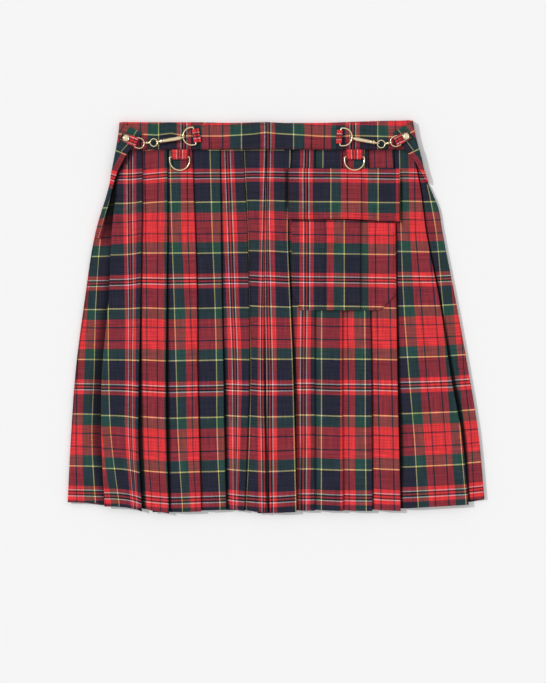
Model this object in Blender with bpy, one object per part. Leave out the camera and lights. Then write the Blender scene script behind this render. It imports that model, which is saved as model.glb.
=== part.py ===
# A pleated tartan skirt with a cargo pocket and side clasps, laid flat on its back.
# X runs across the skirt, Y from hem to waist and Z up from the surface that it lies on.
# Sizes and places are in millimetres here, and become metres as each mesh is made.

import math
from collections import namedtuple

import bmesh
import bpy
import numpy as np
from mathutils import Matrix, Vector

MM = 0.001

# The cloth
WALL = 1.1
SEAM_GAP = 0.3
LAYER_GAP = 0.35
LIE_GAP = 0.35
BAND_WALL = 1.2
DOUBLE_CLOTH = 2.4
FLAP_CLOTH = 2.0
TAB_WALL = 1.0
LOOP_PARTING = 5.4

# How far one layer of a pleat lies above the next, at the waist and at the hem
PITCH_WAIST = WALL + LAYER_GAP
PITCH_HEM = 2.1

# Heights along the skirt
SEAM_Y = 208.5
HEM_Y = -242.0
BAND_BOTTOM_Y = SEAM_Y + SEAM_GAP
TABLE_Y = np.array([208.5, 158.5, 108.5, 21.0, -79.0, -154.0, -242.0])

# Where the side edges and the fold edges run, at each height of TABLE_Y.
# over: which side's cloth lies on top at the fold. depth: how far the cloth turns back below it.
Side = namedtuple("Side", "seam high hip seat thigh low hem")
Fold = namedtuple("Fold", "over depth seam high hip seat thigh low hem")
SIDE_LEFT = Side(-200.8, -210.9, -225.0, -239.0, -251.4, -256.6, -261.0)
SIDE_RIGHT = Side(178.9, 194.0, 208.4, 224.1, 241.3, 253.0, 261.0)
FRONT_FOLDS = (
    Fold("right", 8.0, -193.8, -200.0, -205.5, -209.3, -217.5, -219.0, -214.0),
    Fold("left", 14.0, -167.5, -167.5, -167.8, -168.3, -168.5, -167.1, -163.8),
    Fold("left", 19.0, -136.3, -136.3, -135.9, -137.0, -137.1, -135.5, -133.1),
    Fold("left", 17.0, -105.3, -103.5, -101.5, -99.0, -98.4, -96.3, -93.8),
    Fold("left", 17.0, -70.6, -69.4, -68.3, -66.8, -64.8, -63.3, -61.6),
    Fold("left", 12.0, -41.3, -38.0, -35.5, -33.3, -33.0, -35.0, -38.5),
    Fold("left", 10.0, -12.5, -13.8, -14.3, -15.0, -14.6, -12.8, -6.9),
    Fold("left", 14.0, 18.8, 14.6, 13.1, 17.5, 25.1, 25.4, 25.5),
    Fold("left", 12.0, 48.1, 48.1, 48.1, 48.1, 48.1, 48.1, 48.1),
    Fold("left", 18.0, 81.9, 81.9, 82.0, 82.3, 82.5, 83.0, 83.6),
    Fold("left", 18.0, 115.0, 115.6, 116.3, 117.4, 119.1, 119.5, 120.0),
    Fold("left", 17.0, 146.3, 147.8, 149.3, 150.0, 151.5, 153.3, 155.4),
    Fold("left", 12.0, 171.0, 182.0, 187.4, 203.5, 218.3, 231.6, 240.3),
)
BACK_FOLDS = 12
BACK_DEPTH = 16.0

# The hem's height at each strip's left and right end, from the left side to the right
Hem = namedtuple("Hem", "left right")
FRONT_HEMS = (
    Hem(-232.3, -233.5),
    Hem(-236.6, -242.8),
    Hem(-239.8, -245.8),
    Hem(-244.5, -243.4),
    Hem(-242.5, -241.0),
    Hem(-238.8, -242.8),
    Hem(-241.9, -245.4),
    Hem(-245.8, -244.0),
    Hem(-242.3, -242.3),
    Hem(-241.6, -242.8),
    Hem(-242.3, -242.8),
    Hem(-241.3, -242.8),
    Hem(-240.0, -235.0),
    Hem(-229.4, -227.5),
)
BACK_HEM_SIDE = -229.0
BACK_HEM_MIDDLE = -242.0

# A strip comes out from below a fold, and climbs over its own turned-back cloth
CLIMB_START = 1.5
CLIMB_MOST = 14.0

# Where the folded-forward sides end, and how far the front's edge stands in to let them round it
WRAP_INSET = WALL + 1.2
LEFT_WRAP_END_Y = 60.0
RIGHT_WRAP_END_Y = 140.0

# The waistband: its upright seams, and its top edge as heights along X
BAND_SEAM_LEFT_X = -95.0
BAND_SEAM_RIGHT_X = 75.6
BAND_TOP_FRONT = ((-196.0, 243.4), (-108.0, 242.8), (-95.0, 241.2), (-76.0, 241.9),
                  (-11.0, 243.4), (19.0, 241.9), (85.0, 242.4), (142.0, 244.4), (172.0, 245.6))
BAND_TOP_BACK = ((-196.0, 243.6), (-115.0, 243.4), (-95.0, 243.6), (-58.0, 242.6),
                 (60.0, 242.6), (90.0, 243.8), (142.0, 245.4), (172.0, 245.8))
BAND_OUTLINE_LEFT = ((209.0, -200.7), (230.0, -197.3), (243.6, -195.6))
BAND_OUTLINE_RIGHT = ((209.0, 178.8), (230.0, 173.6), (245.8, 171.1))

# The band's ends, folded forward: a row for each height, from its outer to its fold edge
Turned = namedtuple("Turned", "outer_x outer_y fold_x fold_y")
BAND_SIDE_LEFT = (
    Turned(-195.7, 243.2, -167.0, 229.6),
    Turned(-197.6, 226.0, -175.2, 216.6),
    Turned(-200.4, 208.8, -186.5, 203.2),
)
BAND_SIDE_RIGHT = (
    Turned(171.2, 245.5, 146.3, 229.4),
    Turned(174.4, 228.0, 155.4, 217.4),
    Turned(178.6, 211.0, 165.0, 204.2),
)
# The skirt's sides, folded forward below the band. lift: 1 above a pleat, 0 on the side strip
Folded = namedtuple("Folded", "outer_x outer_y fold_x fold_y lift")
SIDE_FOLD_LEFT = (
    Folded(-200.6, 208.3, -186.9, 202.7, 1.0),
    Folded(-203.9, 191.0, -194.8, 188.0, 1.0),
    Folded(-206.4, 179.5, -199.7, 177.0, 1.0),
    Folded(-210.2, 164.5, -204.5, 162.0, 0.25),
    Folded(-216.6, 140.8, -210.4, 138.9, 0.0),
    Folded(-221.8, 119.5, -215.6, 117.0, 0.0),
    Folded(-227.2, 99.0, -219.4, 97.0, 0.0),
)
SIDE_FOLD_RIGHT = (
    Folded(178.9, 210.4, 165.3, 203.6, 1.0),
    Folded(183.8, 196.0, 171.6, 195.1, 1.0),
    Folded(188.0, 185.4, 177.5, 186.0, 1.0),
    Folded(191.0, 175.3, 183.5, 176.0, 1.0),
    Folded(193.3, 168.0, 188.0, 168.6, 0.3),
)
TURN_BACK_SHARE = 0.4

# The pocket
POCKET_ROWS_Y = (173.5, 108.0, 26.0, 17.0, 8.0)
POCKET_LEFT_X = (19.4, 19.4, 20.6, 25.2, 30.5)
POCKET_RIGHT_X = (149.4, 149.4, 149.4, 140.5, 131.0)
POCKET_FOLD_LEFT_X = 61.9
POCKET_FOLD_RIGHT_X = 104.8
POCKET_FOLD_DEPTH = 8.0
FLAP_TOP_Y = 185.4
FLAP_RISE_Y = 180.4
FLAP_FULL_Y = 174.6
FLAP_BOTTOM_LEFT_Y = 121.0
FLAP_BOTTOM_RIGHT_Y = 118.5
FLAP_LEFT_X = 14.6
FLAP_RIGHT_X = 154.1

# Brass wire rings: outer width along the straight bar, and outer depth from the bar's middle
Ring = namedtuple("Ring", "width depth wire")
HANGING_RING = Ring(26.8, 17.6, 1.0)
CLASP_RING = Ring(24.0, 15.6, 1.0)
STRAP_RING = Ring(14.2, 11.6, 0.8)
WIRE_GAP = 0.3

HANGING_TAB_WIDTH = 19.9
HANGING_BAR_Y = 199.3
CLASP_RING_LEAN = math.radians(3.4)
CLASP_TAB_WIDTH = 16.9
STRAP_WIDTH = 9.6

STUD_RADIUS = 4.1
STUD_HEIGHT = 2.0
EYE_RADIUS = 4.7
HOOK_WIRE = 0.8

# Each side's clasp, seen from above. A ring's angle is the way that its bow points, and
# the right hanging ring leans up a little because it lies on the pocket flap's top edge.
Clasp = namedtuple(
    "Clasp",
    "side tab_x ring_x ring_y ring_angle eye_x eye_y strap_ring_x strap_ring_y strap_ring_angle"
    " strap_angle strap_length stud_along hanging_x hanging_lean hook_bend"
    " bead_bend",
)
CLASPS = (
    Clasp("left", BAND_SEAM_LEFT_X, -101.6, 225.7, 189.8, -152.5, 217.0, -174.9, 217.6, -20.0,
          -22.0, 19.6, 13.0, -120.3, -3.5, 0.0, 24.0),
    Clasp("right", BAND_SEAM_RIGHT_X, 80.4, 224.4, -4.2, 131.2, 215.2, 153.2, 220.2, 204.0,
          206.6, 15.6, 9.9, 97.9, 4.6, -5.0, -8.0),
)

CLOTH_COLOURS = {
    "tartan_red": (0.52, 0.04, 0.05, 1.0),
    "tartan_green": (0.03, 0.09, 0.07, 1.0),
    "tartan_trim": (0.72, 0.06, 0.07, 1.0),
}
BRASS_COLOUR = (0.78, 0.60, 0.33, 1.0)


def clear_scene():
    for old in list(bpy.data.objects):
        bpy.data.objects.remove(old, do_unlink=True)


def make_material(name, colour, roughness, metallic):
    material = bpy.data.materials.new(name)
    material.use_nodes = True
    shader = material.node_tree.nodes["Principled BSDF"]
    shader.inputs["Base Color"].default_value = colour
    shader.inputs["Roughness"].default_value = roughness
    shader.inputs["Metallic"].default_value = metallic
    return material


def smooth_curve(table, at):
    """The smooth curve through a table's values at the heights of TABLE_Y, read at other heights."""
    heights = -TABLE_Y
    values = np.array(table, float)
    slopes = np.gradient(values, heights)
    low = np.clip(np.searchsorted(heights, -at, side="right") - 1, 0, len(heights) - 2)
    span = heights[low + 1] - heights[low]
    t = (-at - heights[low]) / span
    start = values[low] * (2 * t**3 - 3 * t**2 + 1) + slopes[low] * span * (t**3 - 2 * t**2 + t)
    return start + values[low + 1] * (3 * t**2 - 2 * t**3) + slopes[low + 1] * span * (t**3 - t**2)


def down(y):
    """How far down the skirt a height is, from 0 at the waist seam to 1 at the hem."""
    return float(np.clip((SEAM_Y - y) / (SEAM_Y - HEM_Y), 0.0, 1.0))


def pitch(y):
    return PITCH_WAIST + (PITCH_HEM - PITCH_WAIST) * down(y) ** 0.7


def stack(y):
    """The height of a pleated panel: three layers of cloth and the gaps between them."""
    return 2 * pitch(y) + WALL


def front_base(y):
    return stack(y) + LIE_GAP


def front_top(y):
    return front_base(y) + stack(y)


def bezel(across, height, wall):
    """Offsets of half the wall's thickness, square to a path and mitred at its corners."""
    path = np.stack([across, height], axis=-1)
    steps = np.diff(path, axis=-2)
    steps = steps / np.linalg.norm(steps, axis=-1, keepdims=True)
    normals = np.stack([-steps[..., 1], steps[..., 0]], axis=-1)
    before = np.concatenate([normals[..., :1, :], normals], axis=-2)
    after = np.concatenate([normals, normals[..., -1:, :]], axis=-2)
    together = before + after
    return together * (wall / (1 + (before * after).sum(-1, keepdims=True))) / 2


def add_object(name, mesh, material):
    mesh.materials.append(material)
    made = bpy.data.objects.new(name, mesh)
    bpy.context.scene.collection.objects.link(made)
    return made


def mesh_of(name, points, faces):
    """A closed mesh from points in millimetres, with its faces turned outwards."""
    mesh = bpy.data.meshes.new(name)
    mesh.from_pydata([tuple(p * MM) for p in points], [], faces)
    shaped = bmesh.new()
    shaped.from_mesh(mesh)
    bmesh.ops.recalc_face_normals(shaped, faces=shaped.faces)
    shaped.to_mesh(mesh)
    shaped.free()
    mesh.shade_smooth()
    mesh.set_sharp_from_angle(angle=math.radians(40))
    return mesh


def cloth_wall(name, rows, wall, material, along=(1.0, 0.0, 0.0)):
    """A wall of cloth on rows of points. Each row is a section that runs along one direction and Z."""
    rows = np.array(rows, float)
    along = np.array(along, float)
    offset = bezel(rows @ along, rows[..., 2], wall)
    offset = offset[..., :1] * along + offset[..., 1:] * np.array([0.0, 0.0, 1.0])
    count, length = rows.shape[:2]
    points = np.concatenate([(rows + offset).reshape(-1, 3), (rows - offset).reshape(-1, 3)])
    under = count * length
    faces = []
    for i in range(count - 1):
        for j in range(length - 1):
            a = i * length + j
            quad = (a, a + 1, a + length + 1, a + length)
            faces.append(quad)
            faces.append(tuple(under + k for k in reversed(quad)))
    rim = [i * length + j for i, j in rim_places(count, length)]
    for a, b in zip(rim, rim[1:] + rim[:1]):
        faces.append((b, a, under + a, under + b))
    return add_object(name, mesh_of(name, points, faces), material)


def rim_places(count, length):
    """The places round the edge of a grid, in order."""
    first = [(0, j) for j in range(length)]
    right = [(i, length - 1) for i in range(1, count)]
    last = [(count - 1, j) for j in range(length - 2, -1, -1)]
    left = [(i, 0) for i in range(count - 2, 0, -1)]
    return first + right + last + left


def fold_points(x, over, depth, levels):
    """The section of one knife pleat as (x, height), from left to right along the cloth."""
    low, middle, top = levels
    bend = (top - middle) / 2
    turned = [(x - bend, top), (x, (middle + top) / 2), (x - bend, middle)]
    turned += [(x - depth, middle), (x - depth, low)]
    if over == "left":
        return turned
    return [(2 * x - px, pz) for px, pz in reversed(turned)]


def pleated_section(y, folds, hems):
    """One row of a pleated panel, without its sides: x, height above its lowest layer's middle, hem."""
    levels = [k * pitch(y) for k in range(3)]
    edges = [smooth_curve(f[2:], y) for f in folds]
    section = []
    for k, fold in enumerate(folds):
        x = edges[k]
        if fold.over == "left" and k and folds[k - 1].over == "left":
            start = edges[k - 1] + CLIMB_START
            end = x - fold.depth - CLIMB_START
            section.append((start, levels[0], hems[k].left))
            section.append((min(end, start + CLIMB_MOST), levels[2], hems[k].left))
        hidden = (hems[k].right + hems[k + 1].left) / 2
        points = fold_points(x, fold.over, fold.depth, levels)
        ends = [hems[k].right] * 3 + [hidden] * 2
        if fold.over == "right":
            ends = [hidden] * 2 + [hems[k + 1].left] * 3
        section += [(px, pz, end) for (px, pz), end in zip(points, ends)]
    return section


def side_turn(x, y, inward, inset, lip):
    """The panel's rounded side, from its lip at mid height to the flat strip."""
    radius = front_base(y) / 2
    edge = x + inward * (WALL / 2 + inset)
    middle = WALL / 2 + radius
    slant = radius * math.sqrt(0.5)
    return [
        (edge, middle + lip * SEAM_GAP / 2),
        (edge, middle + lip * radius * 0.35),
        (edge + inward * (radius - slant), middle + lip * slant),
        (edge + inward * radius, middle + lip * radius),
    ]


def hem_height(y, hem):
    """A row's height where the strip's own hem lies above or below the table's."""
    return SEAM_Y + (hem - SEAM_Y) * down(y)


def inset_at(y, end_y):
    return WRAP_INSET if y > end_y else 0.0


def make_front_panel(material):
    rows = []
    mids = (TABLE_Y[:-1] + TABLE_Y[1:]) / 2
    for y in np.sort(np.concatenate([TABLE_Y, mids[[0, 2, 3, 5]]]))[::-1]:
        left = smooth_curve(SIDE_LEFT, y)
        right = smooth_curve(SIDE_RIGHT, y)
        turn_left = side_turn(left, y, 1, inset_at(y, LEFT_WRAP_END_Y), 1)
        turn_right = side_turn(right, y, -1, inset_at(y, RIGHT_WRAP_END_Y), 1)
        floor = front_base(y) + WALL / 2
        section = pleated_section(y, FRONT_FOLDS, FRONT_HEMS)
        last = smooth_curve(FRONT_FOLDS[-1][2:], y) + CLIMB_START
        row = [(x, z, FRONT_HEMS[0].left) for x, z in turn_left]
        row += [(x, floor + z, hem) for x, z, hem in section]
        row += [(last, floor, FRONT_HEMS[-1].left)]
        row += [(x, z, FRONT_HEMS[-1].right) for x, z in reversed(turn_right)]
        rows.append([(x, hem_height(y, hem), z) for x, z, hem in row])
    return cloth_wall("front_panel", rows, WALL, material)


def make_back_panel(material):
    rows = []
    for y in TABLE_Y:
        left = smooth_curve(SIDE_LEFT, y)
        right = smooth_curve(SIDE_RIGHT, y)
        ceiling = stack(y) - WALL / 2
        levels = [k * pitch(y) for k in range(3)]
        edges = np.linspace(left, right, BACK_FOLDS + 2)
        section = []
        for k in range(1, BACK_FOLDS + 1):
            if k > 1:
                start = edges[k - 1] + CLIMB_START
                end = edges[k] - BACK_DEPTH - CLIMB_START
                section.append((start, ceiling))
                section.append((min(end, start + CLIMB_MOST), WALL / 2))
            points = fold_points(edges[k], "left", BACK_DEPTH, levels)
            section += [(x, ceiling - z) for x, z in points]
        section.append((edges[-2] + CLIMB_START, ceiling))
        section.append((edges[-2] + CLIMB_START + CLIMB_MOST, WALL / 2))
        section = side_turn(left, y, 1, 0.0, -1) + section
        section += reversed(side_turn(right, y, -1, 0.0, -1))
        row = []
        for x, z in section:
            off_middle = abs(2 * (x - left) / (right - left) - 1)
            hem = BACK_HEM_MIDDLE + (BACK_HEM_SIDE - BACK_HEM_MIDDLE) * off_middle**4
            row.append((x, hem_height(y, hem), z))
        rows.append(row)
    return cloth_wall("back_panel", rows, WALL, material)


def read_row(pairs, at):
    """A value from (place, value) pairs, straight between them."""
    places, values = zip(*pairs)
    return float(np.interp(at, places, values))


def make_band(name, left, right, top, low, high, columns, material):
    """A piece of waistband: one wall folded over at its top edge, open below where the pleats meet it."""
    half = (high - low - BAND_WALL) / 2
    middle = (low + high) / 2
    slant = half * math.sqrt(0.5)
    rows = []
    for share in np.linspace(0.0, 1.0, columns):
        row = []
        guess = left(BAND_BOTTOM_Y) + (right(BAND_BOTTOM_Y) - left(BAND_BOTTOM_Y)) * share
        fold_y = read_row(top, guess) - BAND_WALL / 2
        section = [
            (BAND_BOTTOM_Y, middle + half),
            (fold_y - half, middle + half),
            (fold_y - half + slant, middle + slant),
            (fold_y, middle),
            (fold_y - half + slant, middle - slant),
            (fold_y - half, middle - half),
            (BAND_BOTTOM_Y, middle - half),
        ]
        for y, z in section:
            row.append((left(y) + (right(y) - left(y)) * share, y, z))
        rows.append(row)
    return cloth_wall(name, rows, BAND_WALL, material, along=(0.0, 1.0, 0.0))


def make_waistband(material):
    back_high = stack(SEAM_Y)
    low = front_base(SEAM_Y)
    high = front_top(SEAM_Y)
    inset = DOUBLE_CLOTH + 1.0

    def outline_left(y):
        return read_row(BAND_OUTLINE_LEFT, y)

    def outline_right(y):
        return read_row(BAND_OUTLINE_RIGHT, y)

    def seam_left(y):
        return BAND_SEAM_LEFT_X

    def seam_right(y):
        return BAND_SEAM_RIGHT_X

    make_band("waistband_back", outline_left, outline_right, BAND_TOP_BACK, 0.0, back_high, 9, material)
    make_band("waistband_front_left", lambda y: outline_left(y) + inset,
              lambda y: seam_left(y) - SEAM_GAP / 2, BAND_TOP_FRONT, low, high, 5, material)
    make_band("waistband_front_centre", lambda y: seam_left(y) + SEAM_GAP / 2,
              lambda y: seam_right(y) - SEAM_GAP / 2, BAND_TOP_FRONT, low, high, 7, material)
    make_band("waistband_front_right", lambda y: seam_right(y) + SEAM_GAP / 2,
              lambda y: outline_right(y) - inset, BAND_TOP_FRONT, low, high, 5, material)


def make_turned_band(name, table, inward, material):
    """The band's end: up from the back, round the side and over the front."""
    floor = front_top(SEAM_Y) + LIE_GAP
    top = floor + DOUBLE_CLOTH / 2
    start = stack(SEAM_Y) + LIE_GAP
    bend = 1.6
    rows = []
    for t in table:
        edge = t.outer_x + inward * DOUBLE_CLOTH / 2
        section = [
            (edge, start),
            (edge, top - bend),
            (edge + inward * bend * 0.3, top - bend * 0.3),
            (edge + inward * bend, top),
            ((edge + t.fold_x) / 2, top),
            (t.fold_x, top),
        ]
        row = [(x, slanted(x, t), z) for x, z in section]
        # Round the side, the end stays above the panels' top edge.
        rows.append([(x, y if z == top else max(y, BAND_BOTTOM_Y + 0.2), z) for x, y, z in row])
    return cloth_wall(name, rows, DOUBLE_CLOTH, material)


def slanted(x, t):
    """The height of a point on a row that slants from its outer edge to its fold edge."""
    return t.outer_y + (t.fold_y - t.outer_y) * (x - t.outer_x) / (t.fold_x - t.outer_x)


def make_side_fold(name, table, inward, material):
    """The skirt's side turned forward: round the side, over the front, and back below at its fold."""
    rows = []
    for t in table:
        y = t.outer_y
        side_strip = front_base(y) + WALL
        floor = side_strip + (front_top(y) - side_strip) * t.lift + LIE_GAP
        under = floor + WALL / 2
        over = under + PITCH_WAIST
        bend = PITCH_WAIST / 2
        edge = t.outer_x + inward * WALL / 2
        reach = (t.fold_x - edge) * TURN_BACK_SHARE
        start = WALL / 2 + front_base(y) / 2 + SEAM_GAP / 2
        if y > SEAM_Y:
            start = stack(SEAM_Y) + LIE_GAP + SEAM_GAP
        section = [
            (edge, start),
            (edge, over - bend * 1.6),
            (edge + inward * bend * 0.5, over - bend * 0.5),
            (edge + inward * bend * 1.6, over),
            (t.fold_x - inward * bend, over),
            (t.fold_x, (over + under) / 2),
            (t.fold_x - inward * bend, under),
            (t.fold_x - reach, under),
        ]
        rows.append([(x, slanted(x, t), z) for x, z in section])
    return cloth_wall(name, rows, WALL, material)


def make_pocket_bag(material):
    rows = []
    for y, left, right in zip(POCKET_ROWS_Y, POCKET_LEFT_X, POCKET_RIGHT_X):
        floor = front_top(y) + LIE_GAP + WALL / 2
        levels = [floor + k * PITCH_WAIST for k in range(3)]
        section = [(left, levels[0])]
        section += fold_points(POCKET_FOLD_LEFT_X, "right", POCKET_FOLD_DEPTH, levels)
        section += fold_points(POCKET_FOLD_RIGHT_X, "left", POCKET_FOLD_DEPTH, levels)
        section += [(right, levels[0])]
        rows.append([(x, y, z) for x, z in section])
    return cloth_wall("pocket_bag", rows, WALL, material)


def make_pocket_flap(material):
    """The flap lies on the bag, higher over the bag's box pleat, and its top edge meets the skirt."""
    across = (FLAP_LEFT_X, 40.0, POCKET_FOLD_LEFT_X - 6.0, POCKET_FOLD_LEFT_X - 1.0,
              POCKET_FOLD_RIGHT_X + 1.0, POCKET_FOLD_RIGHT_X + 6.0, 130.0, FLAP_RIGHT_X)
    pleat_rise = 2 * PITCH_WAIST
    rises = (0.0, 0.0, 0.45 * pleat_rise, pleat_rise, pleat_rise, 0.45 * pleat_rise, 0.0, 0.0)
    bag_rise = WALL + LIE_GAP
    rows = []
    for height in (FLAP_TOP_Y, FLAP_RISE_Y, FLAP_FULL_Y, 147.0, FLAP_BOTTOM_LEFT_Y):
        row = []
        for x, rise in zip(across, rises):
            y = height
            if height == FLAP_BOTTOM_LEFT_Y:
                side = (x - FLAP_LEFT_X) / (FLAP_RIGHT_X - FLAP_LEFT_X)
                y += (FLAP_BOTTOM_RIGHT_Y - FLAP_BOTTOM_LEFT_Y) * side
            over_bag = 0.0 if height >= FLAP_RISE_Y else bag_rise + rise
            row.append((x, y, front_top(y) + LIE_GAP + FLAP_CLOTH / 2 + over_bag))
        rows.append(row)
    return cloth_wall("pocket_flap", rows, FLAP_CLOTH, material)


def make_loop(name, bar, angle, width, wire, seam_reach, floor, material):
    """A tab of cloth that goes over a bar and back below it, its two ends together at the seam."""
    heading = Vector((math.cos(angle), math.sin(angle), 0.0))
    aside = Vector((-heading.y, heading.x, 0.0))
    radius = wire + WIRE_GAP + TAB_WALL / 2
    seam_low = floor + TAB_WALL / 2
    seam_high = seam_low + TAB_WALL + WIRE_GAP
    slant = radius * math.sqrt(0.5)
    parting = min(LOOP_PARTING, seam_reach * 0.55)
    section = [
        (-seam_reach, seam_high),
        (-parting, seam_high),
        (-radius * 0.5, bar.z + radius * 0.87),
        (0.0, bar.z + radius),
        (slant, bar.z + slant),
        (radius, bar.z),
        (slant, bar.z - slant),
        (0.0, bar.z - radius),
        (-parting, seam_low),
        (-seam_reach, seam_low),
    ]
    rows = []
    for across in (-width / 2, 0.0, width / 2):
        row = []
        for u, z in section:
            place = Vector((bar.x, bar.y, 0.0)) + heading * u + aside * across
            row.append((place.x, place.y, z))
        rows.append(row)
    return cloth_wall(name, rows, TAB_WALL, material, along=tuple(heading))


def ring_outline(ring):
    """The wire's middle line: a straight bar on Y, two short sides and a round bow towards +X."""
    half = ring.width / 2 - ring.wire
    depth = ring.depth - ring.wire
    bow = half
    start = max(depth - bow, 1.2)
    reach = depth - start
    points = [(0.0, -half + 1.0), (0.3, -half + 0.3), (1.2, -half)]
    for k in range(11):
        turn = math.pi * (k / 10 - 0.5)
        points.append((start + reach * math.cos(turn), half * math.sin(turn)))
    points += [(1.2, half), (0.3, half - 0.3), (0.0, half - 1.0)]
    if start <= 1.2:
        points = [p for i, p in enumerate(points) if i not in (2, len(points) - 3)]
    return points


def wire_object(name, points, radii, closed, material):
    """A round wire along points in millimetres, as a curve with a bevel."""
    curve = bpy.data.curves.new(name, "CURVE")
    curve.dimensions = "3D"
    curve.bevel_depth = MM
    curve.bevel_resolution = 1
    curve.use_fill_caps = True
    spline = curve.splines.new("POLY")
    spline.points.add(len(points) - 1)
    for dot, place, radius in zip(spline.points, points, radii):
        dot.co = (place[0] * MM, place[1] * MM, place[2] * MM, 1.0)
        dot.radius = radius
    spline.use_cyclic_u = closed
    curve.materials.append(material)
    made = bpy.data.objects.new(name, curve)
    bpy.context.scene.collection.objects.link(made)
    return made


def make_ring(name, ring, place, angle, lean, material):
    """A D-ring whose bar's middle is its own origin, so that it turns about its bar."""
    points = [(x, y, 0.0) for x, y in ring_outline(ring)]
    made = wire_object(name, points, [ring.wire] * len(points), True, material)
    made.location = place * MM
    made.rotation_euler = (0.0, -lean, angle)
    return made


def curl(centre, radius, start, end, steps):
    """Points round a wire that runs across the hook: (along, height)."""
    return [
        (centre + radius * math.cos(a), radius * math.sin(a))
        for a in np.linspace(math.radians(start), math.radians(end), steps)
    ]


def make_snap_hook(name, start, end, material):
    """The hook's body from the eye's wire at its start to the ring's wire at its end."""
    length = (end - start).length
    eye_bend = 2 * HOOK_WIRE + WIRE_GAP
    ring_bend = CLASP_RING.wire + WIRE_GAP + HOOK_WIRE
    path = curl(0.0, eye_bend, -70.0, -270.0, 7)
    radii = [HOOK_WIRE] * 7
    body = (
        (3.8, 1.2, 1.2), (5.2, 0.4, 2.3), (6.2, 0.0, 2.9), (7.8, 0.0, 2.9), (8.8, 0.0, 2.1),
        (length * 0.5, 0.0, 2.2), (length - 7.8, 0.0, 2.5), (length - 5.6, 0.2, 2.3),
        (length - 3.8, 1.1, 1.4),
    )
    for along, height, radius in body:
        path.append((along, height))
        radii.append(radius)
    path += curl(length, ring_bend, 100.0, -100.0, 7)
    radii += [HOOK_WIRE] * 7
    heading = (end - start).normalized()
    flat = Vector((heading.x, heading.y, 0.0)).normalized()
    aside = Vector((-flat.y, flat.x, 0.0))
    upward = heading.cross(aside) * -1
    if upward.z < 0:
        upward.negate()
    points = [start + heading * u + upward * z for u, z in path]
    return wire_object(name, points, radii, False, material)


def joined(name, pieces, material):
    """One closed mesh from overlapping pieces."""
    graph = bpy.context.evaluated_depsgraph_get()
    meshes = []
    for piece in pieces:
        mesh = bpy.data.meshes.new_from_object(piece.evaluated_get(graph))
        mesh.transform(piece.matrix_world)
        meshes.append(mesh)
        bpy.data.objects.remove(piece, do_unlink=True)
    first = bpy.data.objects.new(name, meshes[0])
    bpy.context.scene.collection.objects.link(first)
    for k, mesh in enumerate(meshes[1:]):
        other = bpy.data.objects.new(f"{name}_join_{k}", mesh)
        bpy.context.scene.collection.objects.link(other)
        other.hide_render = True
        other.display_type = "WIRE"
        union = first.modifiers.new(f"join_{k}", "BOOLEAN")
        union.operation = "UNION"
        union.object = other
    return first


def make_swivel_eye(name, bead_place, tangent, eye_place, material):
    """The round eye that the hook holds, its neck, and the bead round the strap ring's wire."""
    heading = (eye_place - bead_place).normalized()
    round_eye = []
    aside = Vector((-heading.y, heading.x, 0.0)).normalized()
    for k in range(14):
        turn = 2 * math.pi * k / 14
        round_eye.append(eye_place + heading * EYE_RADIUS * math.cos(turn) + aside * EYE_RADIUS * math.sin(turn))
    eye = wire_object(name + "_eye", round_eye, [HOOK_WIRE] * 14, True, material)
    bead_radius = STRAP_RING.wire + WIRE_GAP + HOOK_WIRE
    outward = tangent.cross(Vector((0.0, 0.0, 1.0))).normalized()
    bead = []
    for k in range(10):
        turn = 2 * math.pi * (k + 0.5) / 10
        bead.append(bead_place + outward * bead_radius * math.cos(turn)
                    + Vector((0.0, 0.0, bead_radius * math.sin(turn))))
    bead = wire_object(name + "_bead", bead, [HOOK_WIRE] * 10, True, material)
    neck_start = bead_place + heading * (bead_radius - 0.1)
    neck_end = eye_place - heading * (EYE_RADIUS - 0.1)
    neck = wire_object(name + "_neck", [neck_start, neck_end], [1.25, 1.0], False, material)
    bpy.context.view_layer.update()
    return joined(name, [neck, eye, bead], material)


def make_stud(name, place, material):
    """A round domed stud with a rim, turned about its own axis."""
    profile = (
        (STUD_RADIUS * 0.92, 0.0), (STUD_RADIUS, 0.35), (STUD_RADIUS, 0.95),
        (STUD_RADIUS * 0.86, 1.3), (STUD_RADIUS * 0.78, 1.05), (STUD_RADIUS * 0.45, STUD_HEIGHT * 0.86),
    )
    sides = 14
    points = []
    for radius, height in profile:
        for k in range(sides):
            turn = 2 * math.pi * k / sides
            points.append(np.array([radius * math.cos(turn), radius * math.sin(turn), height]))
    faces = []
    for i in range(len(profile) - 1):
        for k in range(sides):
            nxt = (k + 1) % sides
            faces.append((i * sides + k, i * sides + nxt, (i + 1) * sides + nxt, (i + 1) * sides + k))
    top = len(points)
    points.append(np.array([0.0, 0.0, STUD_HEIGHT]))
    last = (len(profile) - 1) * sides
    faces += [(last + k, last + (k + 1) % sides, top) for k in range(sides)]
    faces.append(tuple(range(sides - 1, -1, -1)))
    made = add_object(name, mesh_of(name, points, faces), material)
    made.location = place * MM
    return made


def bow_point(ring, place, angle, lean, bend):
    """The point on a ring's bow that lies a given turn round from its middle, and the wire's direction."""
    half = ring.width / 2 - ring.wire
    depth = ring.depth - ring.wire
    start = max(depth - half, 1.2)
    turn = math.radians(bend)
    local = Vector((start + (depth - start) * math.cos(turn), half * math.sin(turn), 0.0))
    tangent = Vector((-(depth - start) * math.sin(turn), half * math.cos(turn), 0.0)).normalized()
    spin = Matrix.Rotation(angle, 3, "Z") @ Matrix.Rotation(-lean, 3, "Y")
    return place + spin @ local, spin @ tangent


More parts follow.
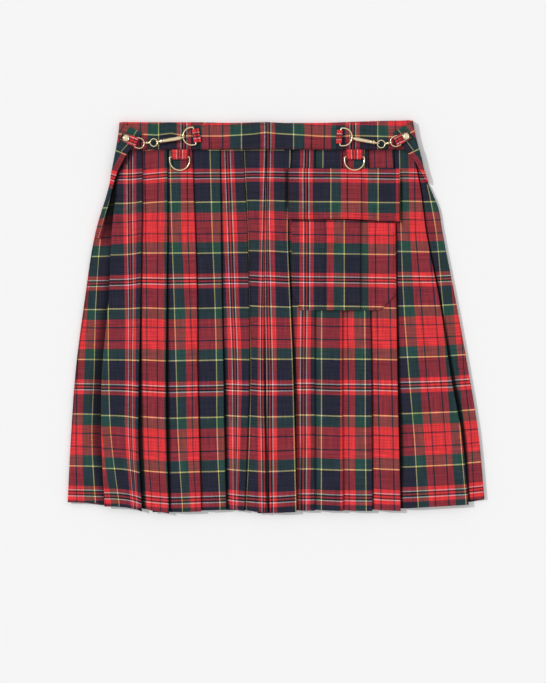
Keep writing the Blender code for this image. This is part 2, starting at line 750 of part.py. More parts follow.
def make_clasp(clasp, trim, brass):
    """One side's tabs, rings, hook, strap and stud."""
    band_top = front_top(SEAM_Y) + LIE_GAP
    strap_floor = band_top + DOUBLE_CLOTH + LIE_GAP
    loop_rise = TAB_WALL + WIRE_GAP
    ring_z = band_top + loop_rise + CLASP_RING.wire
    strap_z = strap_floor + loop_rise + STRAP_RING.wire
    ring_angle = math.radians(clasp.ring_angle)
    strap_ring_angle = math.radians(clasp.strap_ring_angle)
    bar = Vector((clasp.ring_x, clasp.ring_y, ring_z))
    strap_bar = Vector((clasp.strap_ring_x, clasp.strap_ring_y, strap_z))

    reach = abs(clasp.tab_x - clasp.ring_x) / abs(math.cos(ring_angle))
    make_loop(f"clasp_tab_{clasp.side}", bar, ring_angle, CLASP_TAB_WIDTH, CLASP_RING.wire,
              reach, band_top, trim)
    make_ring(f"clasp_ring_{clasp.side}", CLASP_RING, bar, ring_angle, CLASP_RING_LEAN, brass)

    strap_angle = math.radians(clasp.strap_angle)
    make_loop(f"strap_{clasp.side}", strap_bar, strap_angle, STRAP_WIDTH, STRAP_RING.wire,
              clasp.strap_length, strap_floor, trim)
    make_ring(f"strap_ring_{clasp.side}", STRAP_RING, strap_bar, strap_ring_angle, 0.0, brass)
    stud_floor = strap_floor + 2 * TAB_WALL + WIRE_GAP + LIE_GAP
    heading = Vector((math.cos(strap_angle), math.sin(strap_angle), 0.0))
    stud = strap_bar - heading * clasp.stud_along
    make_stud(f"stud_{clasp.side}", Vector((stud.x, stud.y, stud_floor)), brass)

    hook_end, _ = bow_point(CLASP_RING, bar, ring_angle, CLASP_RING_LEAN, clasp.hook_bend)
    bead, tangent = bow_point(STRAP_RING, strap_bar, strap_ring_angle, 0.0, clasp.bead_bend)
    eye = Vector((clasp.eye_x, clasp.eye_y, strap_z + (hook_end.z - strap_z) * 0.4))
    make_swivel_eye(f"swivel_eye_{clasp.side}", bead, tangent, eye, brass)
    lengthways = (eye - bead).normalized()
    aside = Vector((-lengthways.y, lengthways.x, 0.0)).normalized()
    run = hook_end - eye
    held = (lengthways * run.dot(lengthways) + aside * run.dot(aside)).normalized()
    make_snap_hook(f"snap_hook_{clasp.side}", eye + held * EYE_RADIUS, hook_end, brass)


def make_hanging_ring(clasp, trim, brass):
    floor = front_top(HANGING_BAR_Y) + LIE_GAP
    bar = Vector((clasp.hanging_x, HANGING_BAR_Y, floor + TAB_WALL + WIRE_GAP + HANGING_RING.wire))
    make_loop(f"hanging_tab_{clasp.side}", bar, -math.pi / 2, HANGING_TAB_WIDTH, HANGING_RING.wire,
              SEAM_Y - HANGING_BAR_Y, floor, trim)
    make_ring(f"hanging_ring_{clasp.side}", HANGING_RING, bar, -math.pi / 2,
              math.radians(clasp.hanging_lean), brass)


def main():
    clear_scene()
    red = make_material("red_tartan_cloth", CLOTH_COLOURS["tartan_red"], 0.85, 0.0)
    green = make_material("green_tartan_cloth", CLOTH_COLOURS["tartan_green"], 0.85, 0.0)
    trim = make_material("trim_tartan_cloth", CLOTH_COLOURS["tartan_trim"], 0.8, 0.0)
    brass = make_material("brass", BRASS_COLOUR, 0.25, 1.0)
    make_back_panel(green)
    make_front_panel(red)
    make_waistband(green)
    make_turned_band("waistband_side_left", BAND_SIDE_LEFT, 1, red)
    make_turned_band("waistband_side_right", BAND_SIDE_RIGHT, -1, red)
    make_side_fold("side_fold_left", SIDE_FOLD_LEFT, 1, green)
    make_side_fold("side_fold_right", SIDE_FOLD_RIGHT, -1, green)
    make_pocket_bag(green)
    make_pocket_flap(red)
    for clasp in CLASPS:
        make_hanging_ring(clasp, trim, brass)
        make_clasp(clasp, trim, brass)


main()
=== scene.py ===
import math

import bmesh
import bpy
import numpy as np
from mathutils import Matrix, Vector


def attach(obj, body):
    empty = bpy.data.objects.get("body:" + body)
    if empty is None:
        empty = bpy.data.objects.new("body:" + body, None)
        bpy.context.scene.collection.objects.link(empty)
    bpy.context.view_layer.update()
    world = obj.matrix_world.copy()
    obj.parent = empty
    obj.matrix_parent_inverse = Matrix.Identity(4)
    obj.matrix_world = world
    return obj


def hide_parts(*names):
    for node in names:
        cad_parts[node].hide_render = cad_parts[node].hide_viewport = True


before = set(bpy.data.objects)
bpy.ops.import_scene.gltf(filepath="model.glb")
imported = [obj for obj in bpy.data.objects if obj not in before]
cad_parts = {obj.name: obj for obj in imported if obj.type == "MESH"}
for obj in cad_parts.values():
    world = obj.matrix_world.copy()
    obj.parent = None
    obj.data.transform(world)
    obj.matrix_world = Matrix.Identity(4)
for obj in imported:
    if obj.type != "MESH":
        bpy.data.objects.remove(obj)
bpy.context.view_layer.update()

mm = 0.001

# The photograph's own frame. Every pixel place below is turned to millimetres with it.
photo = {
    "mmPerPixel": 1.25,
    "middleX": 276.0,  # the pixel that lies over the part's origin
    "middleY": 316.6,
    "width": 546,
    "height": 683,
}
pixel = photo["mmPerPixel"]

def fromPixelX(px):
    return (px - photo["middleX"]) * pixel

def fromPixelY(py):
    return (photo["middleY"] - py) * pixel

def toPixelX(x):
    return photo["middleX"] + x / pixel

def toPixelY(y):
    return photo["middleY"] - y / pixel

def smoothRead(places, values, at):
    # the smooth curve through a short table, with its places rising
    places, values = np.array(places, float), np.array(values, float)
    slopes = np.gradient(values, places)
    at = np.clip(np.asarray(at, float), places[0], places[-1])
    low = np.clip(np.searchsorted(places, at, side="right") - 1, 0, len(places) - 2)
    span = places[low + 1] - places[low]
    t = (at - places[low]) / span
    start = values[low] * (2 * t**3 - 3 * t**2 + 1) + slopes[low] * span * (t**3 - 2 * t**2 + t)
    return start + values[low + 1] * (3 * t**2 - 2 * t**3) + slopes[low + 1] * span * (t**3 - t**2)

def straightRead(at, pairs):
    # straight between the pairs of a place and its value
    return float(np.interp(at, *zip(*pairs)))

def ease(t):
    t = np.clip(t, 0, 1)
    return t * t * (3 - 2 * t)

def between(at, start, rise, end, fall):
    # 0 outside and 1 inside, with a soft rise after start and a soft fall after end
    return ease((at - start) / rise) * (1 - ease((at - end) / fall))

def level(xs, z):
    return [(x, z) for x in xs]

def ripple(x, y, size):
    # the slow unevenness of cloth that was laid down by hand
    wave = np.sin(x / 37 + y / 61 + 0.7) * np.sin(y / 83 - x / 150 + 1.9)
    return size * (wave + 0.5 * np.sin(x / 17 - y / 47 + 2.3) * np.sin(y / 39 + 0.4))

# Materials

def toLinear(hexColour):
    parts = [int(hexColour[i:i + 2], 16) / 255 for i in (1, 3, 5)]
    return tuple(c / 12.92 if c <= 0.04045 else ((c + 0.055) / 1.055) ** 2.4 for c in parts) + (1.0,)

def node(tree, kind, inputs=None, output=None, **settings):
    # adds a node with its settings and links, and gives the output that is asked for
    made = tree.nodes.new("ShaderNode" + kind)
    for name, value in settings.items():
        setattr(made, name, value)
    for name, value in (inputs or {}).items():
        if isinstance(value, bpy.types.NodeSocket):
            tree.links.new(value, made.inputs[name])
        else:
            made.inputs[name].default_value = value
    return made if output is None else made.outputs[output]

def newMaterial(name):
    material = bpy.data.materials.new(name)
    material.use_nodes = True
    material.node_tree.nodes.clear()
    return material, material.node_tree

tartan = {
    "warpHalf": 48.3,  # pixels of the photo from the white pair to the middle of the red
    "weftHalf": 55.0,
    "warp": ((0, "red"), (0.7, "black"), (2.4, "pink"), (3.25, "red"), (6.8, "navy"), (24.4, "yellow"),
             (25.4, "green"), (35.3, "red"), (41.4, "navy"), (42.7, "red")),
    "weft": ((0, "red"), (0.8, "black"), (2.4, "white"), (3.6, "red"), (7.5, "navy"), (27.7, "yellow"),
             (28.8, "green"), (39.5, "red"), (47.3, "navy"), (48.6, "red")),
    "yarns": {"red": "#DB383C", "black": "#101014", "white": "#F0E4E0", "navy": "#252635",
              "yellow": "#F2EA92", "green": "#274943", "pink": "#E6CFCB"},
    "twillMm": 2.1,  # two warps over two wefts, drawn about as coarse as the photo shows it
    "weftShare": 0.4,  # how much of the weft lies on top, and how far the ribs and slubs change it
    "ribShare": 0.2,
    "slubShare": 0.2,
    "slubScale": 0.9,
    "eyeGamma": 2.2,
    "streakScales": ((1.3, 0.035, 1.0), (0.035, 1.3, 1.0)),  # yarns along the warp, then along the weft
    "toneSpan": 0.34,
    "toneBase": 0.635,
    "hueSpan": (0.16, 0.16, 0.4),
    "hueBase": (0.84, 0.84, 0.6),
    "roughness": 0.88,
    "specular": 0.12,
    "sheen": 0.03,
    "bump": 0.25,
}

# Worsted wool, yarn dyed and woven as a twill: matt, with fine slanting ribs, and where two colours
# cross the eye sees about the even mix of them.
def worstedTartan():
    material, tree = newMaterial("worsted_tartan")
    cloth = node(tree, "UVMap", None, "UV", uv_map="clothPlace")
    places = node(tree, "SeparateXYZ", {"Vector": cloth})
    eyes = []
    for threads, axis in (("warp", "X"), ("weft", "Y")):
        half = tartan[threads + "Half"]
        back = node(tree, "Math", {0: places.outputs[axis], 1: half}, 0, operation="PINGPONG")
        ramp = node(tree, "ValToRGB", {"Fac": node(tree, "Math", {0: back, 1: half}, 0, operation="DIVIDE")})
        ramp.color_ramp.interpolation = "CONSTANT"
        stops = ramp.color_ramp.elements
        stops.remove(stops[-1])
        for i, (start, yarn) in enumerate(tartan[threads]):
            stop = stops.new(start / half) if i else stops[0]
            stop.position = start / half
            stop.color = toLinear(tartan["yarns"][yarn])
        # yarns shade each other, so their mix is darker than the mean of their light: it is made in eye values
        eyes.append(node(tree, "Gamma", {"Color": ramp.outputs["Color"], "Gamma": 1 / tartan["eyeGamma"]},
                         "Color"))

    # the twill's ribs decide which yarn lies on top
    slant = node(tree, "Math", {0: places.outputs["X"], 1: places.outputs["Y"]}, 0, operation="SUBTRACT")
    slant = node(tree, "Math", {0: slant, 1: 2 * math.pi * pixel / tartan["twillMm"]}, 0, operation="MULTIPLY")
    rib = node(tree, "Math", {0: slant}, 0, operation="SINE")
    slub = node(tree, "TexNoise", {"Vector": cloth, "Scale": tartan["slubScale"], "Detail": 2.0,
                                   "Roughness": 0.6}, "Fac", noise_dimensions="2D")
    onTop = node(tree, "Math", {0: slub, 1: tartan["slubShare"], 2: tartan["weftShare"]}, 0,
                 operation="MULTIPLY_ADD")
    onTop = node(tree, "Math", {0: rib, 1: tartan["ribShare"], 2: onTop}, 0, operation="MULTIPLY_ADD")
    woven = node(tree, "Mix", {0: onTop, 6: eyes[0], 7: eyes[1]}, 2, data_type="RGBA", clamp_factor=True)

    # yarns differ a little in thickness and dye
    streaks = []
    for scale in tartan["streakScales"]:
        stretched = node(tree, "Mapping", {"Vector": cloth, "Scale": scale}, "Vector")
        noise = node(tree, "TexNoise", {"Vector": stretched, "Scale": 1.0, "Detail": 1.0}, noise_dimensions="2D")
        streaks.append(noise.outputs)
    tone = node(tree, "Math", {0: streaks[0]["Fac"], 1: streaks[1]["Fac"]}, 0, operation="ADD")
    tone = node(tree, "Math", {0: tone, 1: tartan["toneSpan"], 2: tartan["toneBase"]}, 0,
                operation="MULTIPLY_ADD")
    hues = node(tree, "VectorMath", {0: streaks[0]["Color"], 1: streaks[1]["Color"]}, 0, operation="ADD")
    hues = node(tree, "VectorMath", {0: hues, 1: tartan["hueSpan"], 2: tartan["hueBase"]}, 0,
                operation="MULTIPLY_ADD")
    toned = node(tree, "VectorMath", {0: woven, 3: tone}, 0, operation="SCALE")
    toned = node(tree, "VectorMath", {0: toned, 1: hues}, 0, operation="MULTIPLY")
    light = node(tree, "Gamma", {"Color": toned, "Gamma": tartan["eyeGamma"]}, "Color")

    # painted shade: the colour is darkened in the grooves beside the fold edges, in the shadows of the tuck and
    # the pocket flap and deep in the pleats, and lightened on a few stripes
    shadeFactor = node(tree, "Attribute", None, "Fac", attribute_name="paintedShade")
    shaded = node(tree, "VectorMath", {0: light, 3: shadeFactor}, 0, operation="SCALE")
    relief = node(tree, "Math", {0: rib, 1: 0.5, 2: slub}, 0, operation="MULTIPLY_ADD")
    shader = node(tree, "BsdfPrincipled", {
        "Base Color": shaded, "Roughness": tartan["roughness"], "Specular IOR Level": tartan["specular"],
        "Sheen Weight": tartan["sheen"], "Sheen Roughness": 0.5,
        "Normal": node(tree, "Bump", {"Height": relief, "Strength": tartan["bump"], "Distance": 0.0003},
                       "Normal"),
    }, "BSDF")
    node(tree, "OutputMaterial", {"Surface": shader})
    return material

brass = {
    "colour": "#FFF0D0",
    "shadeColour": "#E3C88F",
    "roughness": 0.2,
    "polishMm": 1.4,
    "bump": 0.12,
}

# Brass, cast and drawn, then polished and plated a pale gold: warm, bright, with soft small waves.
def polishedBrass():
    material, tree = newMaterial("polished_brass")
    place = node(tree, "TexCoord", None, "Object")
    wear = node(tree, "TexNoise", {"Vector": place, "Scale": 250 / brass["polishMm"], "Detail": 3.0}, "Fac")
    waves = node(tree, "TexNoise", {"Vector": place, "Scale": 1000 / brass["polishMm"], "Detail": 1.0}, "Fac")
    colour = node(tree, "Mix", {0: wear, 6: toLinear(brass["shadeColour"]), 7: toLinear(brass["colour"])}, 2,
                  data_type="RGBA")
    shader = node(tree, "BsdfPrincipled", {
        "Base Color": colour, "Metallic": 1.0, "Roughness": brass["roughness"],
        "Normal": node(tree, "Bump", {"Height": waves, "Strength": brass["bump"], "Distance": 0.0001}, "Normal"),
    }, "BSDF")
    node(tree, "OutputMaterial", {"Surface": shader})
    return material

clothMaterial = worstedTartan()
brassMaterial = polishedBrass()
print("materials made")

# Meshes

def addObject(name, data):
    made = bpy.data.objects.new(name, data)
    bpy.context.scene.collection.objects.link(made)
    return made

def newCurve(name, material, bevel, smoothness):
    curve = bpy.data.curves.new(name, "CURVE")
    curve.dimensions = "3D"
    curve.bevel_depth = bevel * mm
    curve.bevel_resolution = smoothness
    curve.materials.append(material)
    return curve

def addSpline(curve, points, radii, closed=False):
    spline = curve.splines.new("POLY")
    spline.points.add(len(points) - 1)
    for dot, place, radius in zip(spline.points, points, radii):
        dot.co = (place[0] * mm, place[1] * mm, place[2] * mm, 1.0)
        dot.radius = radius
    spline.use_cyclic_u = closed

def halfWall(across, height, wall):
    # half the wall's thickness, square to a section's path and mitred at its corners
    steps = np.diff(np.stack([across, height], axis=-1), axis=-2)
    steps = steps / np.maximum(np.linalg.norm(steps, axis=-1, keepdims=True), 1e-9)
    normals = np.stack([-steps[..., 1], steps[..., 0]], axis=-1)
    before = np.concatenate([normals[..., :1, :], normals], axis=-2)
    after = np.concatenate([normals, normals[..., -1:, :]], axis=-2)
    scale = wall / np.maximum(1 + (before * after).sum(-1, keepdims=True), 0.5)
    return (before + after) * scale / 2

def clothShell(name, rows, wall, across=(1, 0, 0)):
    # a wall of cloth on rows of points. A point has X, Y and Z in millimetres, its place along the
    # warp's and the weft's stripes, and its painted shade.
    rows = np.array(rows, float)
    middle, paintedShades = rows[..., :3], rows[..., 5].ravel()
    across = np.array(across, float)
    offset = halfWall(middle @ across, middle[..., 2], wall)
    offset = offset[..., :1] * across + offset[..., 1:] * np.array([0, 0, 1])
    count, length = rows.shape[:2]
    points = np.concatenate([(middle + offset).reshape(-1, 3), (middle - offset).reshape(-1, 3)]) * mm
    place = np.concatenate([rows[..., 3:5].reshape(-1, 2)] * 2)
    grid = np.arange(count * length).reshape(count, length)
    quads = np.stack([grid[:-1, :-1], grid[:-1, 1:], grid[1:, 1:], grid[1:, :-1]], axis=-1).reshape(-1, 4)
    under = count * length
    rim = np.concatenate([grid[0, :], grid[1:, -1], grid[-1, -2::-1], grid[-2:0:-1, 0]])
    after = np.roll(rim, -1)
    edge = np.stack([after, rim, under + rim, under + after], axis=-1)
    faces = np.concatenate([quads, under + quads[:, ::-1], edge])
    mesh = bpy.data.meshes.new(name)
    mesh.from_pydata(points, [], faces.tolist())
    layer = mesh.uv_layers.new(name="clothPlace")
    corner = np.empty(len(mesh.loops), np.int32)
    mesh.loops.foreach_get("vertex_index", corner)
    layer.data.foreach_set("uv", place[corner].astype(np.float32).ravel())
    # the painted shade is kept on the points, and the material darkens the colour by it
    shading = mesh.attributes.new("paintedShade", "FLOAT", "POINT")
    shading.data.foreach_set("value", np.concatenate([paintedShades, paintedShades]).astype(np.float32))
    shaped = bmesh.new()
    shaped.from_mesh(mesh)
    bmesh.ops.recalc_face_normals(shaped, faces=shaped.faces)
    shaped.to_mesh(mesh)
    shaped.free()
    mesh.shade_smooth()
    mesh.set_sharp_from_angle(angle=math.radians(60))
    mesh.materials.append(clothMaterial)
    made = addObject(name, mesh)
    flat = [float(np.linalg.norm(np.diff(middle, axis=axis), axis=-1).sum(axis=axis).mean()) * mm
            for axis in (1, 0)]
    return made, flat

def layCloth(made, replaced, held, *restsOn):
    piece, flat = made
    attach(piece, "skirt")
    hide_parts(replaced)
    print("cloth", piece.name, "flat", [round(side, 3) for side in flat])

# The skirt's panels. The heights, outlines, folds and hems are close to those of the solids.
panels = {
    "wall": 0.85,
    "solidWall": 1.1,
    "gap": 0.35,
    "pitchWaist": 1.45,  # how far one layer of a pleat lies above the next
    "pitchHem": 2.1,
    "seamY": 208.5,
    "hemY": -242,
    "heights": (-242, -154, -79, 21, 108.5, 158.5, 208.5),  # hem to seam
    "sideHeights": (-242, -154, -79, 21, 88, 108.5, 133, 158.5, 183, 208.5),
    "sideLeft": (-261, -256.6, -251.4, -239, -229.2, -225, -218, -209.9, -204.6, -200.8),
    "sideRight": (261, 253, 241.3, 223.8, 211.2, 207.6, 203.6, 193.6, 185, 178.5),
    "sideRadius": 1.3,
    "frontRows": 84,
    "backRows": 40,
    "wrapInset": 2.3,
    "leftWrapEndY": 91,
    "rightWrapEndY": 161,
    "climbStart": 1,
    "climbMost": 16,
    "backFolds": 12,
    "backDepth": 16,
    "backInset": 0.55,
    "backHemRise": 13,
    "ripple": 0.22,
}
solidWall, gap = panels["solidWall"], panels["gap"]

# Front folds: depth turned back, then the fold edge's X at each of the heights, hem to seam.
# The first has its right side's cloth on top, the others their left side's.
frontFolds = (
    (8, -214, -217.9, -217.5, -208.7, -204.6, -199.6, -193.8),
    (14, -167.8, -172.3, -171.7, -169.6, -168.1, -167.5, -167.5),
    (19, -133.8, -137.3, -138, -137.3, -136.2, -136.3, -136.3),
    (17, -93.8, -96.3, -98.4, -99, -101.5, -103.5, -105.3),
    (17, -62.6, -64.8, -66, -68, -69.2, -69.8, -70.6),
    (12, -39.5, -36.2, -33.6, -34.2, -36.3, -38.5, -41.3),
    (10, -11.5, -13.8, -14.6, -15, -14.3, -13.8, -12.5),
    (14, 25.3, 23.2, 21.2, 17.9, 14.4, 15.4, 18.8),
    (12, 48.1, 48.1, 48.1, 48.1, 48.1, 48.1, 48.1),
    (18, 83.6, 83, 82.5, 82.3, 82, 81.9, 81.9),
    (18, 120, 119.5, 119.1, 117.4, 116.3, 115.6, 115),
    (17, 155.4, 153.3, 151.5, 150, 149.3, 147.8, 146.3),
    (12, 240.3, 231.6, 218.3, 203.2, 186.6, 180.2, 171),
)
# the hem's height at each strip's left and right end
frontHems = (
    (-232.3, -233.5), (-237.3, -243.3), (-239.8, -245.8), (-244.5, -243.4), (-242.5, -241),
    (-238.8, -242.8), (-241.9, -245.4), (-245.8, -244), (-242.3, -242.3), (-241.6, -242.8),
    (-242.3, -242.8), (-241.3, -242.8), (-240, -235), (-229.4, -227.5),
)
# The shade in the groove beside each fold edge, at the pixel rows of the chart: its width in mm, and
# its strength. Below 0 it lights up a stripe that the photo shows bright.
grooveWidths = (
    (4, 5, 12, 16, 18, 8), (1.5, 1.5, 2, 4.6, 6.8, 5.6), (1.5, 2, 3.4, 4.6, 5.4, 3.2),
    (1.5, 1.5, 2, 2, 1.8, 1.6), (1.5, 1.8, 2, 3.5, 4.3, 3.6), (1.2, 1.3, 1.5, 1.3, 1.2, 1.5),
    (1.2, 2.4, 2.6, 2.2, 3.3, 3.8), (2, 2, 2.4, 5, 7, 8), (1.2, 1.3, 1.3, 1.3, 1.3, 1.3),
    (1.2, 1.3, 1.3, 1.3, 1.3, 1.3), (1.5, 1.5, 1.6, 2.2, 2.4, 1.6), (1.5, 1.6, 3.2, 4.5, 6, 3.5),
    (1.5, 2.4, 2.8, 4.6, 5.2, 3),
)
grooveShades = (
    (0.1, 0.25, 0.65, 0.7, 0.68, 0.55), (0.5, 0.85, 0.93, 0.93, 0.93, 0.9), (0.3, 0.7, 0.9, 0.92, 0.92, 0.9),
    (0.3, 0.6, 0.8, 0.8, 0.75, 0.7), (0.4, 0.7, 0.85, 0.88, 0.88, 0.8), (0.5, 0.6, 0.7, 0.6, 0.6, 0.6),
    (0.1, -0.35, -0.45, 0.8, 0.85, 0.8), (0.3, 0.6, 0.8, 0.86, 0.75, 0.64), (0.5, 0.6, 0.75, 0.75, 0.7, 0.7),
    (0.5, 0.6, 0.75, 0.75, 0.7, 0.7), (0.6, 0.7, 0.85, 0.85, 0.8, 0.8), (0.6, 0.7, 0.9, 0.92, 0.92, 0.85),
    (0.9, 0.92, 0.92, 0.92, 0.92, 0.85),
)
# The deep shade beside the left tuck: pixel row, its left and right pixel columns, and its strength
tuckShade = (
    (149, 127, 137, 0.75), (159.5, 121.5, 130.5, 0.88), (168, 117, 124.5, 0.9),
    (177, 113.6, 120, 0.8), (186, 112, 117.4, 0.92), (197, 110.6, 117.3, 0.94),
    (207, 107.6, 114.8, 0.94), (222, 105, 113, 0.9), (232, 103.8, 111.8, 0.7), (246, 101.5, 110, 0.3),
)

# Where the tartan's warp stripes lie on each strip of the front. A row gives the stripe's place in
# the sett and its pixel column in the photo at pixel rows 155, 225, 300, 370, 440 and 505.
chartRows = (155, 225, 300, 370, 440, 505)
frontChart = (
    ((-42.05, 97, 85, 79.5, 77.2, 76.1, 76.9), (-35.3, 103, 93.6, 88, 84.4, 82.4, 84.5),
     (-24.9, 112, 101.6, 95.9, 94.1, 91.9, 95.6)),
    ((-24.9, 106.5, 107.5, 108.4, 108.8, 111.4, 119.5), (-2.85, 127.3, 127.3, 128.7, 129, 128.9, 133.8),
     (2.85, 132.6, 132.7, 133.2, 132.4, 132.8, 136.7), (6.8, 136.2, 136.2, 135.9, 135.6, 135.5, 138.5)),
    ((42.05, 144.6, 145.7, 146.7, 147, 148.1, 151.9), (54.55, 158.6, 157.7, 157.8, 157.5, 158.2, 160.7),
     (61.3, 164.4, 164.5, 164.5, 164.5, 165, 167.8)),
    ((24.9, 169.9, 171.6, 174.2, 176.3, 178.3, 182.4), (35.3, 180.4, 181.3, 184.6, 186, 187.1, 190.6),
     (42.05, 187, 187.8, 190, 192.4, 192.7, 196)),
    ((7.5, 192.6, 194.5, 197.4, 199.1, 199.8, 203), (24.9, 210, 211.9, 214.8, 216.5, 217.2, 220)),
    ((-6.8, 221.2, 223.5, 226.5, 228.3, 229.3, 230.3), (-2.85, 224.9, 227.4, 230.1, 232.6, 233.1, 233.6),
     (2.85, 230.2, 232.9, 235.2, 237.6, 237.5, 236), (6.8, 233.9, 236.8, 239, 241.6, 240.3, 238)),
    ((-24.9, 244.6, 248, 249.7, 251.2, 249.7, 246.6), (-6.8, 260, 259.5, 258.6, 257.8, 257.8, 259),
     (-2.85, 264.5, 262.4, 260.8, 260.4, 261.3, 262.2)),
    ((-2.85, 265.5, 265.8, 265.8, 267, 267.1, 267.3), (2.85, 270.4, 269.3, 270.9, 272.5, 272.9, 273.5),
     (6.8, 273.7, 274.2, 275.7, 276.5, 277, 277), (24.9, 289.9, 287, 289.4, 292.3, 293.9, 295.5)),
    ((-2.85, 304.2, 302.5, 301.3, 300.6, 300.5, 300.3), (2.85, 309.6, 308.3, 307, 306.3, 306.4, 306)),
    ((-24.9, 323.2, 322.3, 321.9, 321.8, 321.6, 321.6), (-6.8, 341, 340.6, 340.5, 340.4, 340.4, 340.6)),
    ((54.55, 347, 347, 347.3, 348.5, 348.9, 349.4), (61.3, 353.8, 353.8, 354.2, 355, 355.1, 355.5),
     (71.7, 364.3, 364.3, 364.7, 365.2, 365.4, 366.2)),
    ((42.05, 374.6, 376, 377, 378, 379.2, 381), (54.55, 386, 388.5, 390, 391.5, 393, 394.3)),
    ((24.9, 399.6, 401, 403.7, 408.5, 414.3, 418), (35.3, 408.3, 409.6, 413.6, 419, 424.1, 429),
     (42.05, 414.6, 415.2, 420.8, 425.8, 432, 435.3), (54.55, 426, 427.5, 434.5, 439.9, 445.1, 449),
     (71.7, 443, 444, 451, 456, 460.5, 466)),
    ((24.9, 421, 435.2, 442.5, 448.8, 455, 459), (35.3, 434, 445, 452.5, 458.8, 465.2, 468.5),
     (42.05, 440, 451, 459, 464, 471.5, 474)),
)
# The weft: pixel rows and the sett's place there, and how far down each strip's stripes lie from
# them, in pixels: at its left and right end, at rows 280 and 490
weftPixels = (150.1, 175.8, 202, 227.4, 253.3, 281.2, 308.2, 334.1, 360.6, 389, 417.5, 444.7, 472, 499.8)
weftPlaces = (-28.25, 0, 28.25, 55, 81.75, 110, 138.25, 165, 191.75, 220, 248.25, 275, 301.75, 330)
weftShifts = (
    (5.6, 4.9, 0.5, 0.4), (2.8, -1, -0.5, -0.2), (0.3, -0.9, 0, -2.2), (-0.6, -0.6, -0.9, -1.4),
    (0, 0, -0.5, -0.2), (0.2, -0.8, -0.7, -1.8), (-2.8, -2.8, -1.2, -2.6), (-3.4, -1.6, -2.7, -3.1),
    (-2, -1.8, -3.3, -3.5), (-1, -1, -2.6, -2.4), (-1, -1, -2.6, -2.6), (0.3, 0, -3.1, -3),
    (-1.4, 0.4, -3.4, -3.1), (1.6, 1.4, 0.5, 0.2),
)
# The shade beside the pocket flap: where it starts and ends across and down, in pixels, and its strength
flapShades = (
    ((398, 1, 401.4, 2), (178, 6, 222, 2), 0.75),
    ((283.6, 2.6, 292, 0.001), (168, 4, 204, 12), 0.8),
)

def down(y):
    return float(np.clip((panels["seamY"] - y) / (panels["seamY"] - panels["hemY"]), 0, 1))

def pitch(y):
    return panels["pitchWaist"] + (panels["pitchHem"] - panels["pitchWaist"]) * down(y) ** 0.7

def stack(y):
    return 2 * pitch(y) + solidWall

def frontBase(y):
    return stack(y) + gap

def frontTop(y):
    return frontBase(y) + stack(y)

def sides(y):
    return [smoothRead(panels["sideHeights"], panels[side], y) for side in ("sideLeft", "sideRight")]

def weftAt(py):
    # the table's ends go on in a straight line
    low = weftPlaces[0] + (py - weftPixels[0]) * 1.1
    high = weftPlaces[-1] + (py - weftPixels[-1])
    return np.where(py < weftPixels[0], low, np.where(py > weftPixels[-1], high,
                    np.interp(py, weftPixels, weftPlaces)))

def warpAt(px, stripes):
    # straight between the stripes' pixel columns, and straight on past the first and last
    values, places = (np.array(side, float) for side in zip(*stripes))
    first = (values[1] - values[0]) / (places[1] - places[0])
    last = (values[-1] - values[-2]) / (places[-1] - places[-2])
    first, last = np.clip((first, last), 0.8, 1.25)
    before = values[0] + (px - places[0]) * first
    after = values[-1] + (px - places[-1]) * last
    return np.where(px < places[0], before, np.where(px > places[-1], after, np.interp(px, places, values)))

def turnPoints(x, z, radius, start, end, steps):
    angles = np.radians(np.linspace(start, end, steps))
    return [(x + radius * math.cos(a), z + radius * math.sin(a)) for a in angles]

def withStripes(across, columns):
    # the samples with one more at each stripe, so that the stripes lie where the chart has them
    count = len(columns)
    places = [min(max(fromPixelX(px), across[0] + 0.03 * (i + 1)), across[-1] - 0.03 * (count - i))
              for i, px in enumerate(columns)]
    return np.sort(np.concatenate([across, places]))

def castShade(px, py):
    # the shade that the left tuck and the pocket flap throw on the pleats beside them
    rows, starts, ends, depths = np.array(tuckShade).T
    start, end = np.interp(py, rows, starts), np.interp(py, rows, ends)
    shade = 1 - np.interp(py, rows, depths) * (py < rows[-1]) * between(px, start - 0.9, 0.9, end - 1.6, 2.4)
    for across, downward, strength in flapShades:
        shade = shade * (1 - strength * between(px, *across) * between(py, *downward))
    return shade

